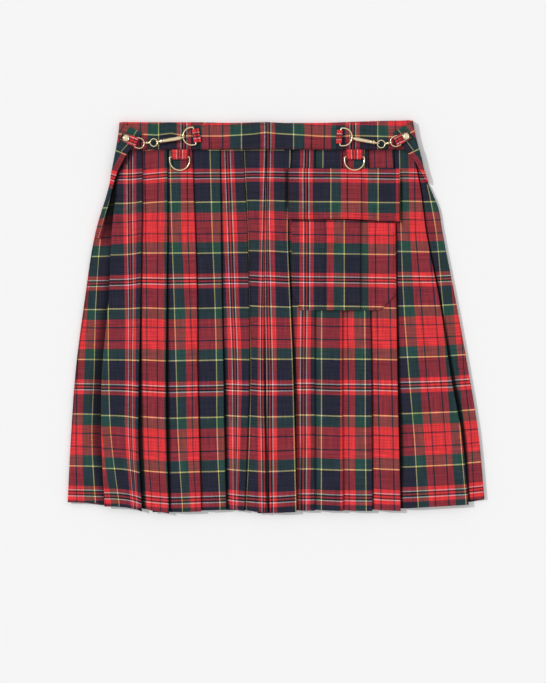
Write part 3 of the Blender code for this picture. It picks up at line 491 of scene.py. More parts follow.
def makeFront():
    rows = []
    last = len(frontFolds)
    radius = panels["sideRadius"]
    for share in np.linspace(0, 1, panels["frontRows"]):
        y = panels["seamY"] + (panels["hemY"] - panels["seamY"]) * share
        py = toPixelY(y)
        edges = [smoothRead(panels["heights"], fold[1:], y) for fold in frontFolds]
        widths = [smoothRead(chartRows, groove, py) for groove in grooveWidths]
        shades = [smoothRead(chartRows, groove, py) for groove in grooveShades]
        marks = [[smoothRead(chartRows, stripe[1:], py) for stripe in chart] for chart in frontChart]
        left, right = sides(y)
        h = pitch(y)
        low = frontBase(y) + solidWall / 2
        middle, top = low + h, low + 2 * h
        bend = h / 2
        path = []  # X, Z, strip and shade

        def put(points, strip, shade=1):
            path.extend((x, z, strip, shade) for x, z in points)

        # the left side, turned down to meet the back
        edge = left + solidWall / 2 + panels["wrapInset"] * ease((y - panels["leftWrapEndY"]) / 6)
        # painted shade: the turned-down side wall is darker, and a dark line runs along the outline from below
        # the tuck to above the hem
        put([(edge + 0.3, frontBase(y) / 2 + 0.8), (edge + 0.1, low - radius - 0.5)], 0, 0.6)
        put(turnPoints(edge + radius, low - radius, radius, 172, 90, 7), 0,
            1 - 0.45 * between(py, 235, 20, 440, 20))
        # painted shade: the first strip darkens towards the first fold, where the fold above shades it
        for x in withStripes(np.linspace(edge + radius + 1, edges[0] - 0.5, 12), marks[0]):
            put([(x, low)], 0, 1 - shades[0] * ease((x - edges[0] + widths[0]) / (widths[0] * 0.8)))
        # the first fold's right side stays on top, as the first strip
        reach = edges[0] + frontFolds[0][0]
        # painted shade: the layers hidden inside each pleat are darkened
        put(level(np.linspace(edges[0] + 1, reach, 3), low), 0, 0.25)
        put(turnPoints(reach, (low + middle) / 2, bend, -80, 80, 4), 1, 0.25)
        put(level(np.linspace(reach, edges[0] + bend, 3), middle), 1, 0.4)
        put(turnPoints(edges[0] + bend, (middle + top) / 2, bend, 255, 95, 6), 1)
        put(level(withStripes(np.linspace(edges[0] + bend + 1, edges[1] - bend - 0.5, 14), marks[1]), top), 1)
        for k in range(1, last):
            x, depth = edges[k], frontFolds[k][0]
            put(turnPoints(x - bend, (middle + top) / 2, bend, 85, -85, 6), k)
            # painted shade on the hidden layers of this pleat
            put(level(np.linspace(x - bend - 0.6, x - depth, 3), middle), k, 0.4)
            put(turnPoints(x - depth, (low + middle) / 2, bend, 100, 260, 4), k + 1, 0.2)
            put(level(np.linspace(x - depth + 1, x - 0.8, 3), low), k + 1, 0.15)
            if k < last - 1:
                start = x + panels["climbStart"]
                end = min(edges[k + 1] - frontFolds[k + 1][0] - 1.5, start + panels["climbMost"])
                across = np.concatenate([np.linspace(x, end, 12),
                                         np.linspace(end, edges[k + 1] - bend - 0.5, 8)[1:]])
            else:
                start, end = right, right + 1
                across = np.linspace(x, right - solidWall / 2 - radius - 1, 16)
            for a in withStripes(across, marks[k + 1]):
                # painted shade in the groove beside the fold edge, and painted light where the table's strength
                # is below 0
                dark = 1 - ease((a - x - widths[k] * 0.75) / (widths[k] * 0.5))
                put([(a, low + 2 * h * ease((a - start) / (end - start)))], k + 1, 1 - shades[k] * dark)
        edge = right - solidWall / 2 - panels["wrapInset"] * ease((y - panels["rightWrapEndY"]) / 6)
        put(turnPoints(edge - radius, low - radius, radius, 90, 8, 7), last)
        put([(edge - 0.1, low - radius - 0.5), (edge - 0.3, frontBase(y) / 2 + 0.8)], last, 0.6)

        xs, zs, strips, paintedShades = np.array(path, float).T
        strips = strips.astype(int)
        ends = np.array([left] + edges + [right])
        along = np.clip((xs - ends[strips]) / (ends[strips + 1] - ends[strips]), 0, 1)
        along = np.where(strips == 1, along**3, along)
        hemStart, hemEnd = np.array(frontHems)[strips].T
        ys = panels["seamY"] + (hemStart + (hemEnd - hemStart) * along - panels["seamY"]) * share
        warp = np.empty(len(xs))
        for k, chart in enumerate(frontChart):
            chosen = strips == k
            py2 = toPixelY(ys[chosen].mean())
            stripes = [(stripe[0], smoothRead(chartRows, stripe[1:], py2)) for stripe in chart]
            warp[chosen] = warpAt(toPixelX(xs[chosen]), stripes)

        # each strip's weft stripes lie a little higher or lower than its neighbours'
        px = toPixelX(xs)
        shift = np.array(weftShifts)[strips].T
        upper = shift[0] + (shift[1] - shift[0]) * along
        lower = shift[2] + (shift[3] - shift[2]) * along
        if py < 280:
            moved = upper * (0.2 + 0.8 * np.clip((py - 150) / 90, 0, 1))
        else:
            moved = upper + (lower - upper) * np.clip((py - 280) / 210, 0, 1)
        moved = moved + (strips == 2) * (1.3 - 1.9 * along) * (1 - ease((py - 195) / 30))
        # the yellow line in the waist seam shows from pixel column 207 to 285 alone
        moved = moved - ((px < 207) + (px > 285)) * (1 - np.clip((py - 150) / 24, 0, 1))
        moved = moved + 0.4 * (px > 240) * (px < 285) * (py < 156)
        lift = ripple(xs, ys, panels["ripple"]) * ease((y - panels["hemY"]) / 60 + 0.35) * (zs > low + 0.3)
        # painted shade: the shadows of the tuck and the flap, and a dark band just below the waist seam
        paintedShades = paintedShades * castShade(px, toPixelY(ys)) * (1 - 0.5 * ease((y - 206.9) / 1.4))
        rows.append(np.stack([xs, ys, zs + lift, warp, weftAt(py - moved), paintedShades], axis=-1))
    return clothShell("front_cloth", rows, panels["wall"])

def makeBack():
    rows = []
    count, depth, inset = panels["backFolds"], panels["backDepth"], panels["backInset"]
    floor = panels["wall"] / 2
    for share in np.linspace(0, 1, panels["backRows"]):
        y = panels["seamY"] + (panels["hemY"] - panels["seamY"]) * share
        left, right = sides(y)
        high = stack(y) - solidWall / 2
        middle = high - pitch(y)
        bend = (middle - floor) / 2
        edges = np.linspace(left, right, count + 2)
        radius = frontBase(y) / 2
        centre = floor + radius
        path = [(left + inset, centre - 0.15)]
        path += turnPoints(left + inset + radius, centre, radius, 188, 268, 6)
        path += level(np.linspace(left + inset + radius + 1, edges[1] - bend - 0.6, 8), floor)
        for k in range(1, count + 1):
            x = edges[k]
            path += turnPoints(x - bend, floor + bend, bend, -85, 85, 5)
            path += level((x - bend - 0.8, x - depth), middle)
            path += turnPoints(x - depth, (middle + high) / 2, (high - middle) / 2, 260, 100, 4)
            path += level((x - depth + 1, x - 1), high)
            start, end = x + 1, x + 15
            run = np.linspace(end + 1.5, right - inset - radius - 1, 3)
            if k < count:
                end = min(edges[k + 1] - depth - 1.5, x + 17)
                run = np.linspace(end, edges[k + 1] - bend - 0.6, 5)[1:]
            path += [(a, high - (high - floor) * ease((a - start) / (end - start)))
                     for a in np.linspace(start, end, 7)]
            path += level(run, floor)
        path += turnPoints(right - inset - radius, centre, radius, 272, 352, 6)
        path.append((right - inset, centre - 0.15))
        xs, zs = np.array(path).T
        off = np.abs(2 * (xs - left) / (right - left) - 1)
        hem = panels["hemY"] + panels["backHemRise"] * off**4
        ys = panels["seamY"] + (hem - panels["seamY"]) * share
        steps = np.linalg.norm(np.diff(path, axis=0), axis=1)
        run = np.concatenate([[0], np.cumsum(steps)]) / pixel
        ones = np.ones(len(xs))
        rows.append(np.stack([xs, ys, zs, run, weftAt(toPixelY(y) * ones), ones], axis=-1))
    return clothShell("back_cloth", rows, panels["wall"])

layCloth(makeBack(), "back_panel", "laid")
layCloth(makeFront(), "front_panel", "laid", "back_cloth")

# The waistband: a strip folded over at its top edge, stiff with interlining
band = {
    "wall": 1.1,
    "bottomY": 208.9,
    "topFront": ((-196, 243.4), (-108, 242.8), (-95, 241.2), (-76, 241.9), (-40, 242.6), (-11, 243.4), (-4, 243),
                 (19, 241.9), (85, 242.4), (142, 244.4), (172, 245.6)),
    "topBack": ((-196, 243.6), (-115, 243.6), (-95, 243.7), (-58, 242.8), (60, 242.8), (90, 243.9), (142, 245.5),
                (172, 245.8)),
    "outlineLeft": ((209, -200.7), (230, -197.3), (243.6, -195.6)),
    "outlineRight": ((209, 178.8), (230, 173.6), (245.8, 171.1)),
    "endInset": 3.4,  # the front's ends stop short of the turned ends that go round them
    # pixel places of the yellow stripe that runs along the band
    "yellow": ((118, 134.6), (142, 134.4), (157, 135.1), (171, 133.3), (185, 136), (202, 136.1), (221, 136.1),
               (240, 135.1), (253, 134.2), (266, 132.5), (279, 133.8), (300, 135), (320, 136.3), (340, 136.7),
               (352, 135.7), (369, 136.1), (390, 136.7), (420, 136.9)),
    "yellowPlace": 28.25,
    "rowsAcross": 60,
    "backRowsAcross": 80,
}
bandPieces = (
    # name, node, left X, right X, stripes as sett place and pixel column
    ("band_front_left", "waistband_front_left", -198.2, -95.15,
     ((-48.3, 134), (-24.9, 158.7), (0, 183.9), (24.9, 208.9))),
    ("band_front_centre", "waistband_front_centre", -94.85, 75.45,
     ((-48.3, 216), (-24.9, 241.6), (0, 267.8), (24.9, 293.4), (48.3, 318), (71.7, 342))),
    ("band_front_right", "waistband_front_right", 75.75, 176.2,
     ((-24.9, 327), (0, 352.8), (24.9, 377.6), (48.3, 401.5))),
)

def bandSection(bottom, top, low, high, wall):
    half = (high - low - wall) / 2
    middle = (low + high) / 2
    fold = top - wall / 2 - half
    return (level(np.linspace(bottom, fold, 10), middle + half) + turnPoints(fold, middle, half, 75, -75, 8)
            + level(np.linspace(fold, bottom, 4), middle - half))

def bandWave(x):
    return 0.35 * math.sin(x / 16 + 0.6) * math.sin(x / 41)

def makeBandPiece(name, left, right, low, high, tops, stripes, columns):
    rows = []
    for share in np.linspace(0, 1, columns):
        row, run, before = [], 0, None
        top = straightRead(left(215) + (right(215) - left(215)) * share, tops)
        for y, z in bandSection(band["bottomY"], top, low, high, band["wall"]):
            x = left(y) + (right(y) - left(y)) * share
            outside = z > (low + high) / 2
            # past the top fold the cloth goes on by its own length
            run = 0 if outside else run + math.dist((y, z), before)
            before = (y, z)
            yellow = straightRead(toPixelX(x), band["yellow"])
            shown = top - 1 if run else y
            weft = band["yellowPlace"] + (yellow - toPixelY(shown)) * 1.03 + run / pixel
            # painted shade along the band's bottom edge at the seam
            tone = 0.72 if y < band["bottomY"] + 0.6 else 1
            row.append((x, y, z + (bandWave(x) if outside else 0), warpAt(toPixelX(x), stripes), weft, tone))
        rows.append(row)
    return clothShell(name, rows, band["wall"], (0, 1, 0))

def outlineLeft(y):
    return straightRead(y, band["outlineLeft"])

def outlineRight(y):
    return straightRead(y, band["outlineRight"])

bandLow = frontBase(panels["seamY"])
bandHigh = frontTop(panels["seamY"])
bandTop = bandHigh + gap
backStripes = ((-144.9, photo["middleX"] - 144.9), (144.9, photo["middleX"] + 144.9))
layCloth(makeBandPiece("band_back", outlineLeft, outlineRight, 0, stack(panels["seamY"]), band["topBack"],
                       backStripes, band["backRowsAcross"]), "waistband_back", "folded", "back_cloth")
for name, replaced, left, right, stripes in bandPieces:
    start, end = (lambda y, v=left: v), (lambda y, v=right: v)
    if name == "band_front_left":
        start = lambda y: outlineLeft(y) + band["endInset"]
    if name == "band_front_right":
        end = lambda y: outlineRight(y) - band["endInset"]
    layCloth(makeBandPiece(name, start, end, bandLow, bandHigh, band["topFront"], stripes, band["rowsAcross"]),
             replaced, "folded", "band_back", "front_cloth")
print("waistband made")

# The sides, cinched forward by the straps. Rows run from the outer edge to the fold edge.
turned = {
    "bandWall": 2.4,
    "bandBend": 1.7,
    # outer X and Y, fold X and Y
    "bandLeft": ((-195.7, 243.2, -167, 229.6), (-197.6, 226, -175.2, 216.6), (-200.4, 208.8, -186.5, 203.2)),
    "bandRight": ((171.2, 245.5, 146.3, 229.4), (174.4, 228, 155.4, 217.4), (178.6, 211, 165, 204.2)),
    # below the band, with 1 where it lies on the pleats and 0 on the side strip
    "foldLeft": ((-200.6, 208.3, -186.9, 202.7, 1), (-203.9, 191, -194.8, 188, 1),
                 (-206.2, 179.5, -199.7, 177, 1),
                 (-208.8, 164.5, -204.2, 162, 0.25), (-215.4, 140.8, -210, 138.9, 0),
                 (-221.8, 119.5, -215.6, 117, 0), (-227.2, 99, -219.4, 97, 0)),
    "foldRight": ((178.9, 210.4, 165.3, 203.6, 1), (182.6, 196, 173, 195.1, 1), (184.8, 185.4, 178.2, 186, 1),
                  (188, 175.3, 184, 176, 1), (190.8, 168, 188.2, 168.6, 0.3)),
    "foldEndRow": 187,  # the pixel row where the turned cloth ends and the pleat's own cloth goes on
    "bandRows": 26,
    "foldRows": 40,
}

def spread(table, count):
    at = np.linspace(0, len(table) - 1, count)
    return np.stack([smoothRead(np.arange(len(table)), column, at) for column in zip(*table)], axis=-1)

def slanted(x, row):
    return row[1] + (row[3] - row[1]) * (x - row[0]) / (row[2] - row[0])

def fromFoldAndSeam(x, row, seam):
    # how far a point lies from the fold edge, and its row from the seam, in pixels
    slope = math.hypot(row[2] - row[0], row[3] - row[1]) / abs(row[2] - row[0])
    return abs(row[2] - x) * slope / pixel, math.hypot(row[2] - seam[2], row[3] - seam[3]) / pixel

def makeTurnedBand(side, inward):
    table, wall, bend = turned[f"band{side}"], turned["bandWall"], turned["bandBend"]
    top = bandTop + wall / 2
    start = stack(panels["seamY"]) + gap
    rows = []
    for row in spread(table, turned["bandRows"]):
        edge = row[0] + inward * wall / 2
        section = [(edge, start), (edge, (start + top) / 2), (edge, top - bend)]
        section += [(edge + inward * (bend - bend * math.cos(a)), top - bend + bend * math.sin(a))
                    for a in np.radians((25, 50, 70, 90))]
        section += level(np.linspace(edge + inward * (bend + 1), row[2], 12), top)
        points = []
        for x, z in section:
            y = slanted(x, row) if z == top else max(slanted(x, row), 209)
            wave = 0.25 * math.sin(y / 5 + x / 9) if z == top else 0
            fromFold, fromSeam = fromFoldAndSeam(x, row, table[-1])
            # painted shade: darker right beside the fold edge
            points.append((x, y, z + wave, 24.9 + (fromFold - 5.7) * 1.25, 13 + fromSeam * 0.94,
                           1 if fromFold > 0.6 else 0.8))
        rows.append(points)
    return clothShell(f"band_side_{side.lower()}", rows, wall)

def makeSideFold(side, inward):
    table = turned[f"fold{side}"]
    bend = panels["pitchWaist"] / 2
    rows = []
    for row in spread(table, turned["foldRows"]):
        y = row[1]
        strip = frontBase(y) + solidWall
        under = strip + (frontTop(y) - strip) * np.clip(row[4], 0, 1) + gap + solidWall / 2
        over = under + panels["pitchWaist"]
        edge = row[0] + inward * solidWall / 2
        start = solidWall / 2 + frontBase(y) / 2 + 0.15
        if y > panels["seamY"]:
            start = stack(panels["seamY"]) + 0.7
        section = [(edge, start), (edge, (start + over) / 2), (edge, over - bend * 1.6),
                   (edge + inward * bend * 0.2, over - bend * 0.85),
                   (edge + inward * bend * 0.7, over - bend * 0.3),
                   (edge + inward * bend * 1.6, over)]
        section += level(np.linspace(edge + inward * bend * 2.2, row[2] - inward * (bend + 0.4), 8), over)
        section += [(row[2] - inward * (bend - bend * math.cos(a)), (over + under) / 2 + bend * math.sin(a))
                    for a in np.radians((75, 45, 15, -15, -45, -75))]
        section += [(row[2] - inward * bend * 1.3, under), (row[2] - (row[2] - edge) * 0.4, under)]
        points = []
        for i, (x, z) in enumerate(section):
            fromFold, fromSeam = fromFoldAndSeam(x, row, table[0])
            hidden = i > len(section) - 5
            px, py = toPixelX(x), toPixelY(slanted(x, row))
            if py < turned["foldEndRow"]:
                warp, weft = 41.2 + (fromFold if hidden else -fromFold) * 1.15, -28.8 + fromSeam * 1.08
            else:
                fromOutline = abs(px - toPixelX(row[0])) + (fromFold if hidden else 0)
                warp, weft = fromOutline * 3 - 37, weftAt(py - 5.8)
            points.append((x, slanted(x, row), z, warp, weft, 1))
        rows.append(points)
    return clothShell(f"side_tuck_{side.lower()}", rows, panels["wall"])

for side, inward in (("Left", 1), ("Right", -1)):
    layCloth(makeTurnedBand(side, inward), f"waistband_side_{side.lower()}", "folded",
             f"band_front_{side.lower()}")
for side, inward in (("Left", 1), ("Right", -1)):
    layCloth(makeSideFold(side, inward), f"side_fold_{side.lower()}", "folded", "front_cloth")
print("turned sides made")

# The cargo pocket
pocket = {
    "wall": 0.9,
    "leftX": ((8, 30.5), (17, 25.2), (26, 20.6), (108, 19.4), (173.5, 19.4)),  # by height
    "rightX": ((8, 131), (17, 140.5), (26, 149.4), (108, 148.2), (173.5, 146.4)),
    "pleatLeft": 61.9,
    "pleatRight": 104.8,
    "pleatDepth": 8,
    "flapWall": 1.7,
    "flapLeft": 14.6,
    "flapRight": 154.1,
    "flapTop": 185.4,
    "flapBottom": ((14.6, 121.7), (50, 121.4), (86, 122), (125, 120), (154.1, 118.6)),
    # how far down the bag's stripes lie from the skirt's, in pixels, at four pixel rows
    "bagShift": ((225, 1.2), (253, 0.9), (281, -1.2), (306, -2)),
    # sett place and pixel column of the stripes, left of the pleat, on it and right of it
    "bagStripes": (((-2.85, 303.7), (2.85, 309.6), (18, 324.7)),
                   ((-42, 326.2), (-35.3, 333.8), (-24.9, 344.2), (-9, 359.9)),
                   ((25.6, 360.2), (35.3, 368.2), (42.05, 375.3), (54.55, 388.6))),
    "flapStripes": ((-2.85, 303), (2.85, 308.7), (24.9, 330.6), (42.05, 347), (54.55, 361.3), (71.7, 378),
                    (89.8, 396)),
}
pleatLeft, pleatRight = pocket["pleatLeft"], pocket["pleatRight"]

def bagSides(y):
    return straightRead(y, pocket["leftX"]), straightRead(y, pocket["rightX"])

def bagFloor(y):
    return frontTop(y) + gap + solidWall / 2

def bagSwell(x, y):
    return 0.35 * math.sin(x / 15 + 1) * math.sin(y / 26 + 0.5)

def bagDrop(x, y):
    left, right = bagSides(y)
    return 0.35 * math.exp(-min(x - left, right - x) / 2.5)

def makeBag():
    step = panels["pitchWaist"]
    bend = step / 2
    a, b, depth = pleatLeft, pleatRight, pocket["pleatDepth"]
    tables = pocket["bagStripes"]
    marks = [[stripe[1] for stripe in table] for table in tables]
    rows = []
    for y in np.concatenate([np.linspace(173.5, 126, 8), np.linspace(124, 112, 13), np.linspace(108, 26, 16),
                             np.linspace(26, 8, 8)[1:]]):
        left, right = bagSides(y)
        low = bagFloor(y)
        middle, top = low + step, low + 2 * step
        parts = ((level(withStripes(np.linspace(left, a + depth, 14), marks[0]), low), 0),
                 (turnPoints(a + depth, (low + middle) / 2, bend, -70, 70, 4), 1),
                 (level((a + depth - 1, a + bend + 0.6), middle), 1),
                 (turnPoints(a + bend, (middle + top) / 2, bend, 265, 95, 6), 1),
                 (level(withStripes(np.linspace(a + bend + 1, b - bend - 1, 10), marks[1]), top), 1),
                 (turnPoints(b - bend, (middle + top) / 2, bend, 85, -85, 6), 1),
                 (level((b - bend - 0.6, b - depth + 1), middle), 1),
                 (turnPoints(b - depth, (low + middle) / 2, bend, 110, 250, 4), 2),
                 (level(withStripes(np.linspace(b - depth + 1, right, 14), marks[2]), low), 2))
        points = []
        for x, z, part in ((x, z, part) for run, part in parts for x, z in run):
            px, py = toPixelX(x), toPixelY(y)
            tilt = (px - 293) / 100 * 1.3 - 0.6 + straightRead(py, pocket["bagShift"])
            # painted shade: darker beside the pleat's fold edges, in the flap's shadow below its bottom edge and
            # at the bottom corners
            near = max(0, 1 - abs(x - a - 0.2) / 1.3) if x < a + 0.1 else 0
            near = max(near, max(0, 1 - abs(x - b) / 1.6) if x > b else 0)
            tone = 1 - 0.6 * near if z < top - 0.4 else 1
            tone = tone * (1 - 0.85 * ease((y - straightRead(x, pocket["flapBottom"]) + 3.4) / 2.2))
            if y < 26.5 and (x < left + 0.1 or x > right - 0.1):
                tone = tone * 0.55
            height = z + (bagSwell(x, y) if z != middle else 0) - bagDrop(x, y)
            points.append((x, y, height, warpAt(px, tables[part]), weftAt(py - tilt), tone))
        rows.append(points)
    return clothShell("pocket_bag_cloth", rows, pocket["wall"])

def flapMiddle(x, y):
    up = ease((181.5 - y) / 7.5)
    mound = between(x, pleatLeft - 7, 8, pleatRight + 0.5, 8)
    rise = up * (solidWall + gap + 2 * panels["pitchWaist"] * mound)
    return frontTop(y) + gap + 1 + rise + 0.4 * up * math.sin(x / 13 + 0.4) * math.sin(y / 17)

def makeFlap():
    a, b, left, right = pleatLeft, pleatRight, pocket["flapLeft"], pocket["flapRight"]
    stripes = pocket["flapStripes"]
    across = np.concatenate([np.linspace(left, a - 8, 12), np.linspace(a - 7, a + 3, 8),
                             np.linspace(a + 6, b - 6, 12), np.linspace(b - 3, b + 7, 8),
                             np.linspace(b + 9, right, 12)])
    rows = []
    for share in np.concatenate([[0, 0.012, 0.03], np.linspace(0.06, 0.975, 30), [0.99, 1]]):
        points = []
        for x in withStripes(across, [stripe[1] for stripe in stripes]):
            bottom = straightRead(x, pocket["flapBottom"])
            y = pocket["flapTop"] + (bottom - pocket["flapTop"]) * share
            weft = weftAt(toPixelY(y) + 0.4 - 1.2 * (x - left) / (right - left))
            # painted shade: a darker rim, and shade along the left edge
            tone = 0.85 if min(x - left, right - x, y - bottom) < 0.3 else 1
            tone = tone * (1 - 0.6 * (1 - ease((x - left) / 2.8)) * ease((y - 126) / 16))
            points.append((x, y, flapMiddle(x, y), warpAt(toPixelX(x), stripes), weft, tone))
        rows.append(points)
    return clothShell("pocket_flap_cloth", rows, pocket["flapWall"])

layCloth(makeBag(), "pocket_bag", "folded", "front_cloth")
layCloth(makeFlap(), "pocket_flap", "laid", "pocket_bag_cloth")
print("pocket made")

# The sewing: rows of lockstitches that lie in the cloth, in a thread that matches it
stitches = {
    "colour": "#5B2229",
    "length": 2.9,
    "gap": 0.7,
    "thread": 0.24,
    "sunk": ((0, 0.12), (0.3, -0.08), (0.7, -0.08), (1, 0.12)),  # along a stitch, and how far below the surface
    "flapInset": 5.6,
    "flapSecondInset": 1.6,
    "bagInset": 2,
    "bandTopInset": 3,
    "bandBottomInset": 1.8,
    "bandRuns": ((-182, -96), (-94, 74.5), (76.5, 160)),
}

# Cotton wrapped polyester thread: dull, round and a little darker than the red cloth.
def sewingThread():
    material, tree = newMaterial("sewing_thread")
    place = node(tree, "TexCoord", None, "Object")
    ply = node(tree, "TexWave", {"Vector": place, "Scale": 900.0}, "Fac", bands_direction="DIAGONAL")
    shader = node(tree, "BsdfPrincipled", {
        "Base Color": toLinear(stitches["colour"]), "Roughness": 0.7, "Specular IOR Level": 0.2,
        "Normal": node(tree, "Bump", {"Height": ply, "Strength": 0.3, "Distance": 0.0001}, "Normal"),
    }, "BSDF")
    node(tree, "OutputMaterial", {"Surface": shader})
    return material

threadMaterial = sewingThread()

def sewRows(name, surface, seams):
    # each seam is a line of corners in millimetres, and surface gives the cloth's height there
    curve = newCurve(name, threadMaterial, stitches["thread"], 1)
    step = stitches["length"] + stitches["gap"]
    for corners in seams:
        for (x0, y0), (x1, y1) in zip(corners, corners[1:]):
            run = math.hypot(x1 - x0, y1 - y0)
            count = max(1, int(run / step))
            for i in range(count):
                points = []
                for t, sunk in stitches["sunk"]:
                    along = (i * step + t * stitches["length"] + (run - count * step) / 2) / run
                    x, y = x0 + (x1 - x0) * along, y0 + (y1 - y0) * along
                    points.append((x, y, surface(x, y) - sunk))
                addSpline(curve, points, [1] * len(points))
    made = addObject(name, curve)
    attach(made, "skirt")

def flapSurface(x, y):
    return flapMiddle(x, y) + pocket["flapWall"] / 2

def bagSurface(x, y):
    rise = 2 * panels["pitchWaist"] if pleatLeft < x < pleatRight else 0
    return bagFloor(y) + rise + bagSwell(x, y) - bagDrop(x, y) + pocket["wall"] / 2

def bandSurface(x, y):
    return bandHigh + bandWave(x)

def flapEdge(inset):
    left, right, top = pocket["flapLeft"] + inset, pocket["flapRight"] - inset, pocket["flapTop"] - 1.5
    bottom = [(x, straightRead(x, pocket["flapBottom"]) + inset) for x in (left, 50, 86, 125, right)]
    return [(left, top)] + bottom + [(right, top)]

def bagEdge(inset):
    left = [(x + inset, y) for y, x in pocket["leftX"]]
    right = [(x - inset, y) for y, x in pocket["rightX"]]
    foot = left[0][1] + inset
    return [left[3:0:-1] + [(left[0][0], foot), (pleatLeft - 1, foot)],
            [(pleatLeft + 2, foot), (pleatRight - 2, foot)],
            [(pleatRight + 1, foot), (right[0][0], foot)] + right[1:4]]

sewRows("flap_stitches", flapSurface, [flapEdge(stitches["flapInset"]), flapEdge(stitches["flapSecondInset"])])
sewRows("bag_stitches", bagSurface, bagEdge(stitches["bagInset"]))
bandTops = [(x, y - stitches["bandTopInset"]) for x, y in band["topFront"][1:-2]]
bandFoot = band["bottomY"] + stitches["bandBottomInset"]
sewRows("band_stitches", bandSurface,
        [bandTops] + [[(start, bandFoot), (end, bandFoot)] for start, end in stitches["bandRuns"]])
print("sewing made")

# Brass rings, hooks and studs, and the tabs and straps that hold them
clasps = (
    {"side": "left", "tabX": -95, "ring": (-101.6, 225.7), "ringAngle": 189.8, "eye": (-152.5, 217),
     "strapRing": (-174.9, 217.6), "strapRingAngle": -20, "strapAngle": -22, "strapLength": 19.6,
     "studAlong": 13, "hangingX": -120.3, "hangingLean": -3.5, "hookBend": 0, "beadBend": 24, "strapSlack": 0},
    {"side": "right", "tabX": 75.6, "ring": (80.4, 224.4), "ringAngle": -4.2, "eye": (131.2, 215.2),
     "strapRing": (153.2, 220.2), "strapRingAngle": 204, "strapAngle": 206.6, "strapLength": 15.6,
     "studAlong": 9.9, "hangingX": 97.9, "hangingLean": 4.6, "hookBend": -5, "beadBend": -8, "strapSlack": 2.8},
)
hardware = {
    "tabWall": 0.9,
    "solidTabWall": 1,
    "parting": 5.4,
    "wireGap": 0.3,
    "hangingRing": (26.8, 17.6, 1),  # width, depth and wire radius
    "claspRing": (24, 15.6, 1),
    "strapRing": (14.2, 11.6, 0.8),
    "claspLean": 3.4,
    "hangingTabWidth": 21.2,
    "claspTabWidth": 16.9,
    "strapWidth": 11.4,
    "hangingBarY": 199.3,
    "eyeRadius": 4.7,
    "hookWire": 0.8,
}
# A tab's rise to its ring, as shares of the way along and up
tabRise = ((0.25, 0.2125), (0.125, 0.10625), (0.1875, 0.16734375), (1, 1))
# The snap hook's barrel and swivel end: how far along it, how far up from its middle line, and radius.
# The nose's places are from the hook's far end.
hookNeck = ((1.6, 1.75, 0.95), (2.4, 1.5, 1.3), (3.2, 1.2, 1.9), (4, 0.9, 2.7), (4.9, 0.7, 3.1), (5.7, 0.5, 2.7),
            (6.3, 0.4, 2), (6.8, 0.3, 2.1), (7.4, 0.3, 2.7), (8, 0.3, 2.9), (8.6, 0.3, 2.7), (9.1, 0.3, 2.3),
            (9.7, 0.3, 2.4))
hookNose = ((-5.6, 0.35, 2.75), (-4.8, 0.45, 2.75), (-4.1, 0.6, 2.65), (-3.5, 0.85, 2.4), (-2.9, 1.1, 2),
            (-2.3, 1.4, 1.6))
# The swivel eye's neck: its share of the way, and radius
eyeNeck = ((0, 0.8), (0.1, 1.5), (0.22, 2), (0.36, 1.8), (0.5, 1.2), (0.62, 1.5), (0.76, 1.7), (0.9, 1.3),
           (1, 0.8))
# The stud's rim, as shares of its radius and heights, round a low dome
stud = {
    "radius": 4.1,
    "height": 2.0,
    "rim": ((0.9, 0), (0.97, 0.15), (1, 0.5), (1, 1.2), (0.96, 1.5), (0.88, 1.62), (0.8, 1.5), (0.75, 1.25),
            (0.7, 1.2)),
    "sides": 40,
}

def flatWay(angle):
    return Vector((math.cos(math.radians(angle)), math.sin(math.radians(angle)), 0.0))

def across(heading):
    return Vector((-heading.y, heading.x, 0.0)).normalized()

def placeBrass(made, replaced, body="skirt"):
    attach(made, body)
    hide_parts(replaced)

def newWire(name):
    curve = newCurve(name, brassMaterial, 1, 4)
    curve.use_fill_caps = True
    return curve

def bowShape(size):
    # a ring's half width, its reach from the bar, and where its bow starts
    width, depth, wire = size
    half, reach = width / 2 - wire, depth - wire
    return half, reach, max(reach - half, 1.2)

def placeTurn(angle, lean):
    return Matrix.Rotation(math.radians(angle), 3, "Z") @ Matrix.Rotation(-math.radians(lean), 3, "Y")

def makeRing(name, replaced, size, place, angle, lean, body):
    half, reach, start = bowShape(size)
    outline = [(0, -y) for y in np.linspace(0, half - 1.2, 6)] + [(0.35, -half + 0.38), (1.1, -half)]
    outline += [(start + (reach - start) * math.cos(a), half * math.sin(a))
                for a in np.radians(np.linspace(-90, 90, 37))]
    outline += [(1.1, half), (0.35, half - 0.38)] + [(0, y) for y in np.linspace(half - 1.2, 0, 6)[:-1]]
    spin = placeTurn(angle, lean)
    curve = newWire(name)
    addSpline(curve, [place + spin @ Vector((x, y, 0)) for x, y in outline], [size[2]] * len(outline), True)
    placeBrass(addObject(name, curve), replaced, body)

def bowPoint(size, place, angle, lean, bend):
    half, reach, start = bowShape(size)
    turn = math.radians(bend)
    spin = placeTurn(angle, lean)
    point = Vector((start + (reach - start) * math.cos(turn), half * math.sin(turn), 0.0))
    tangent = Vector((-(reach - start) * math.sin(turn), half * math.cos(turn), 0.0)).normalized()
    return place + spin @ point, spin @ tangent

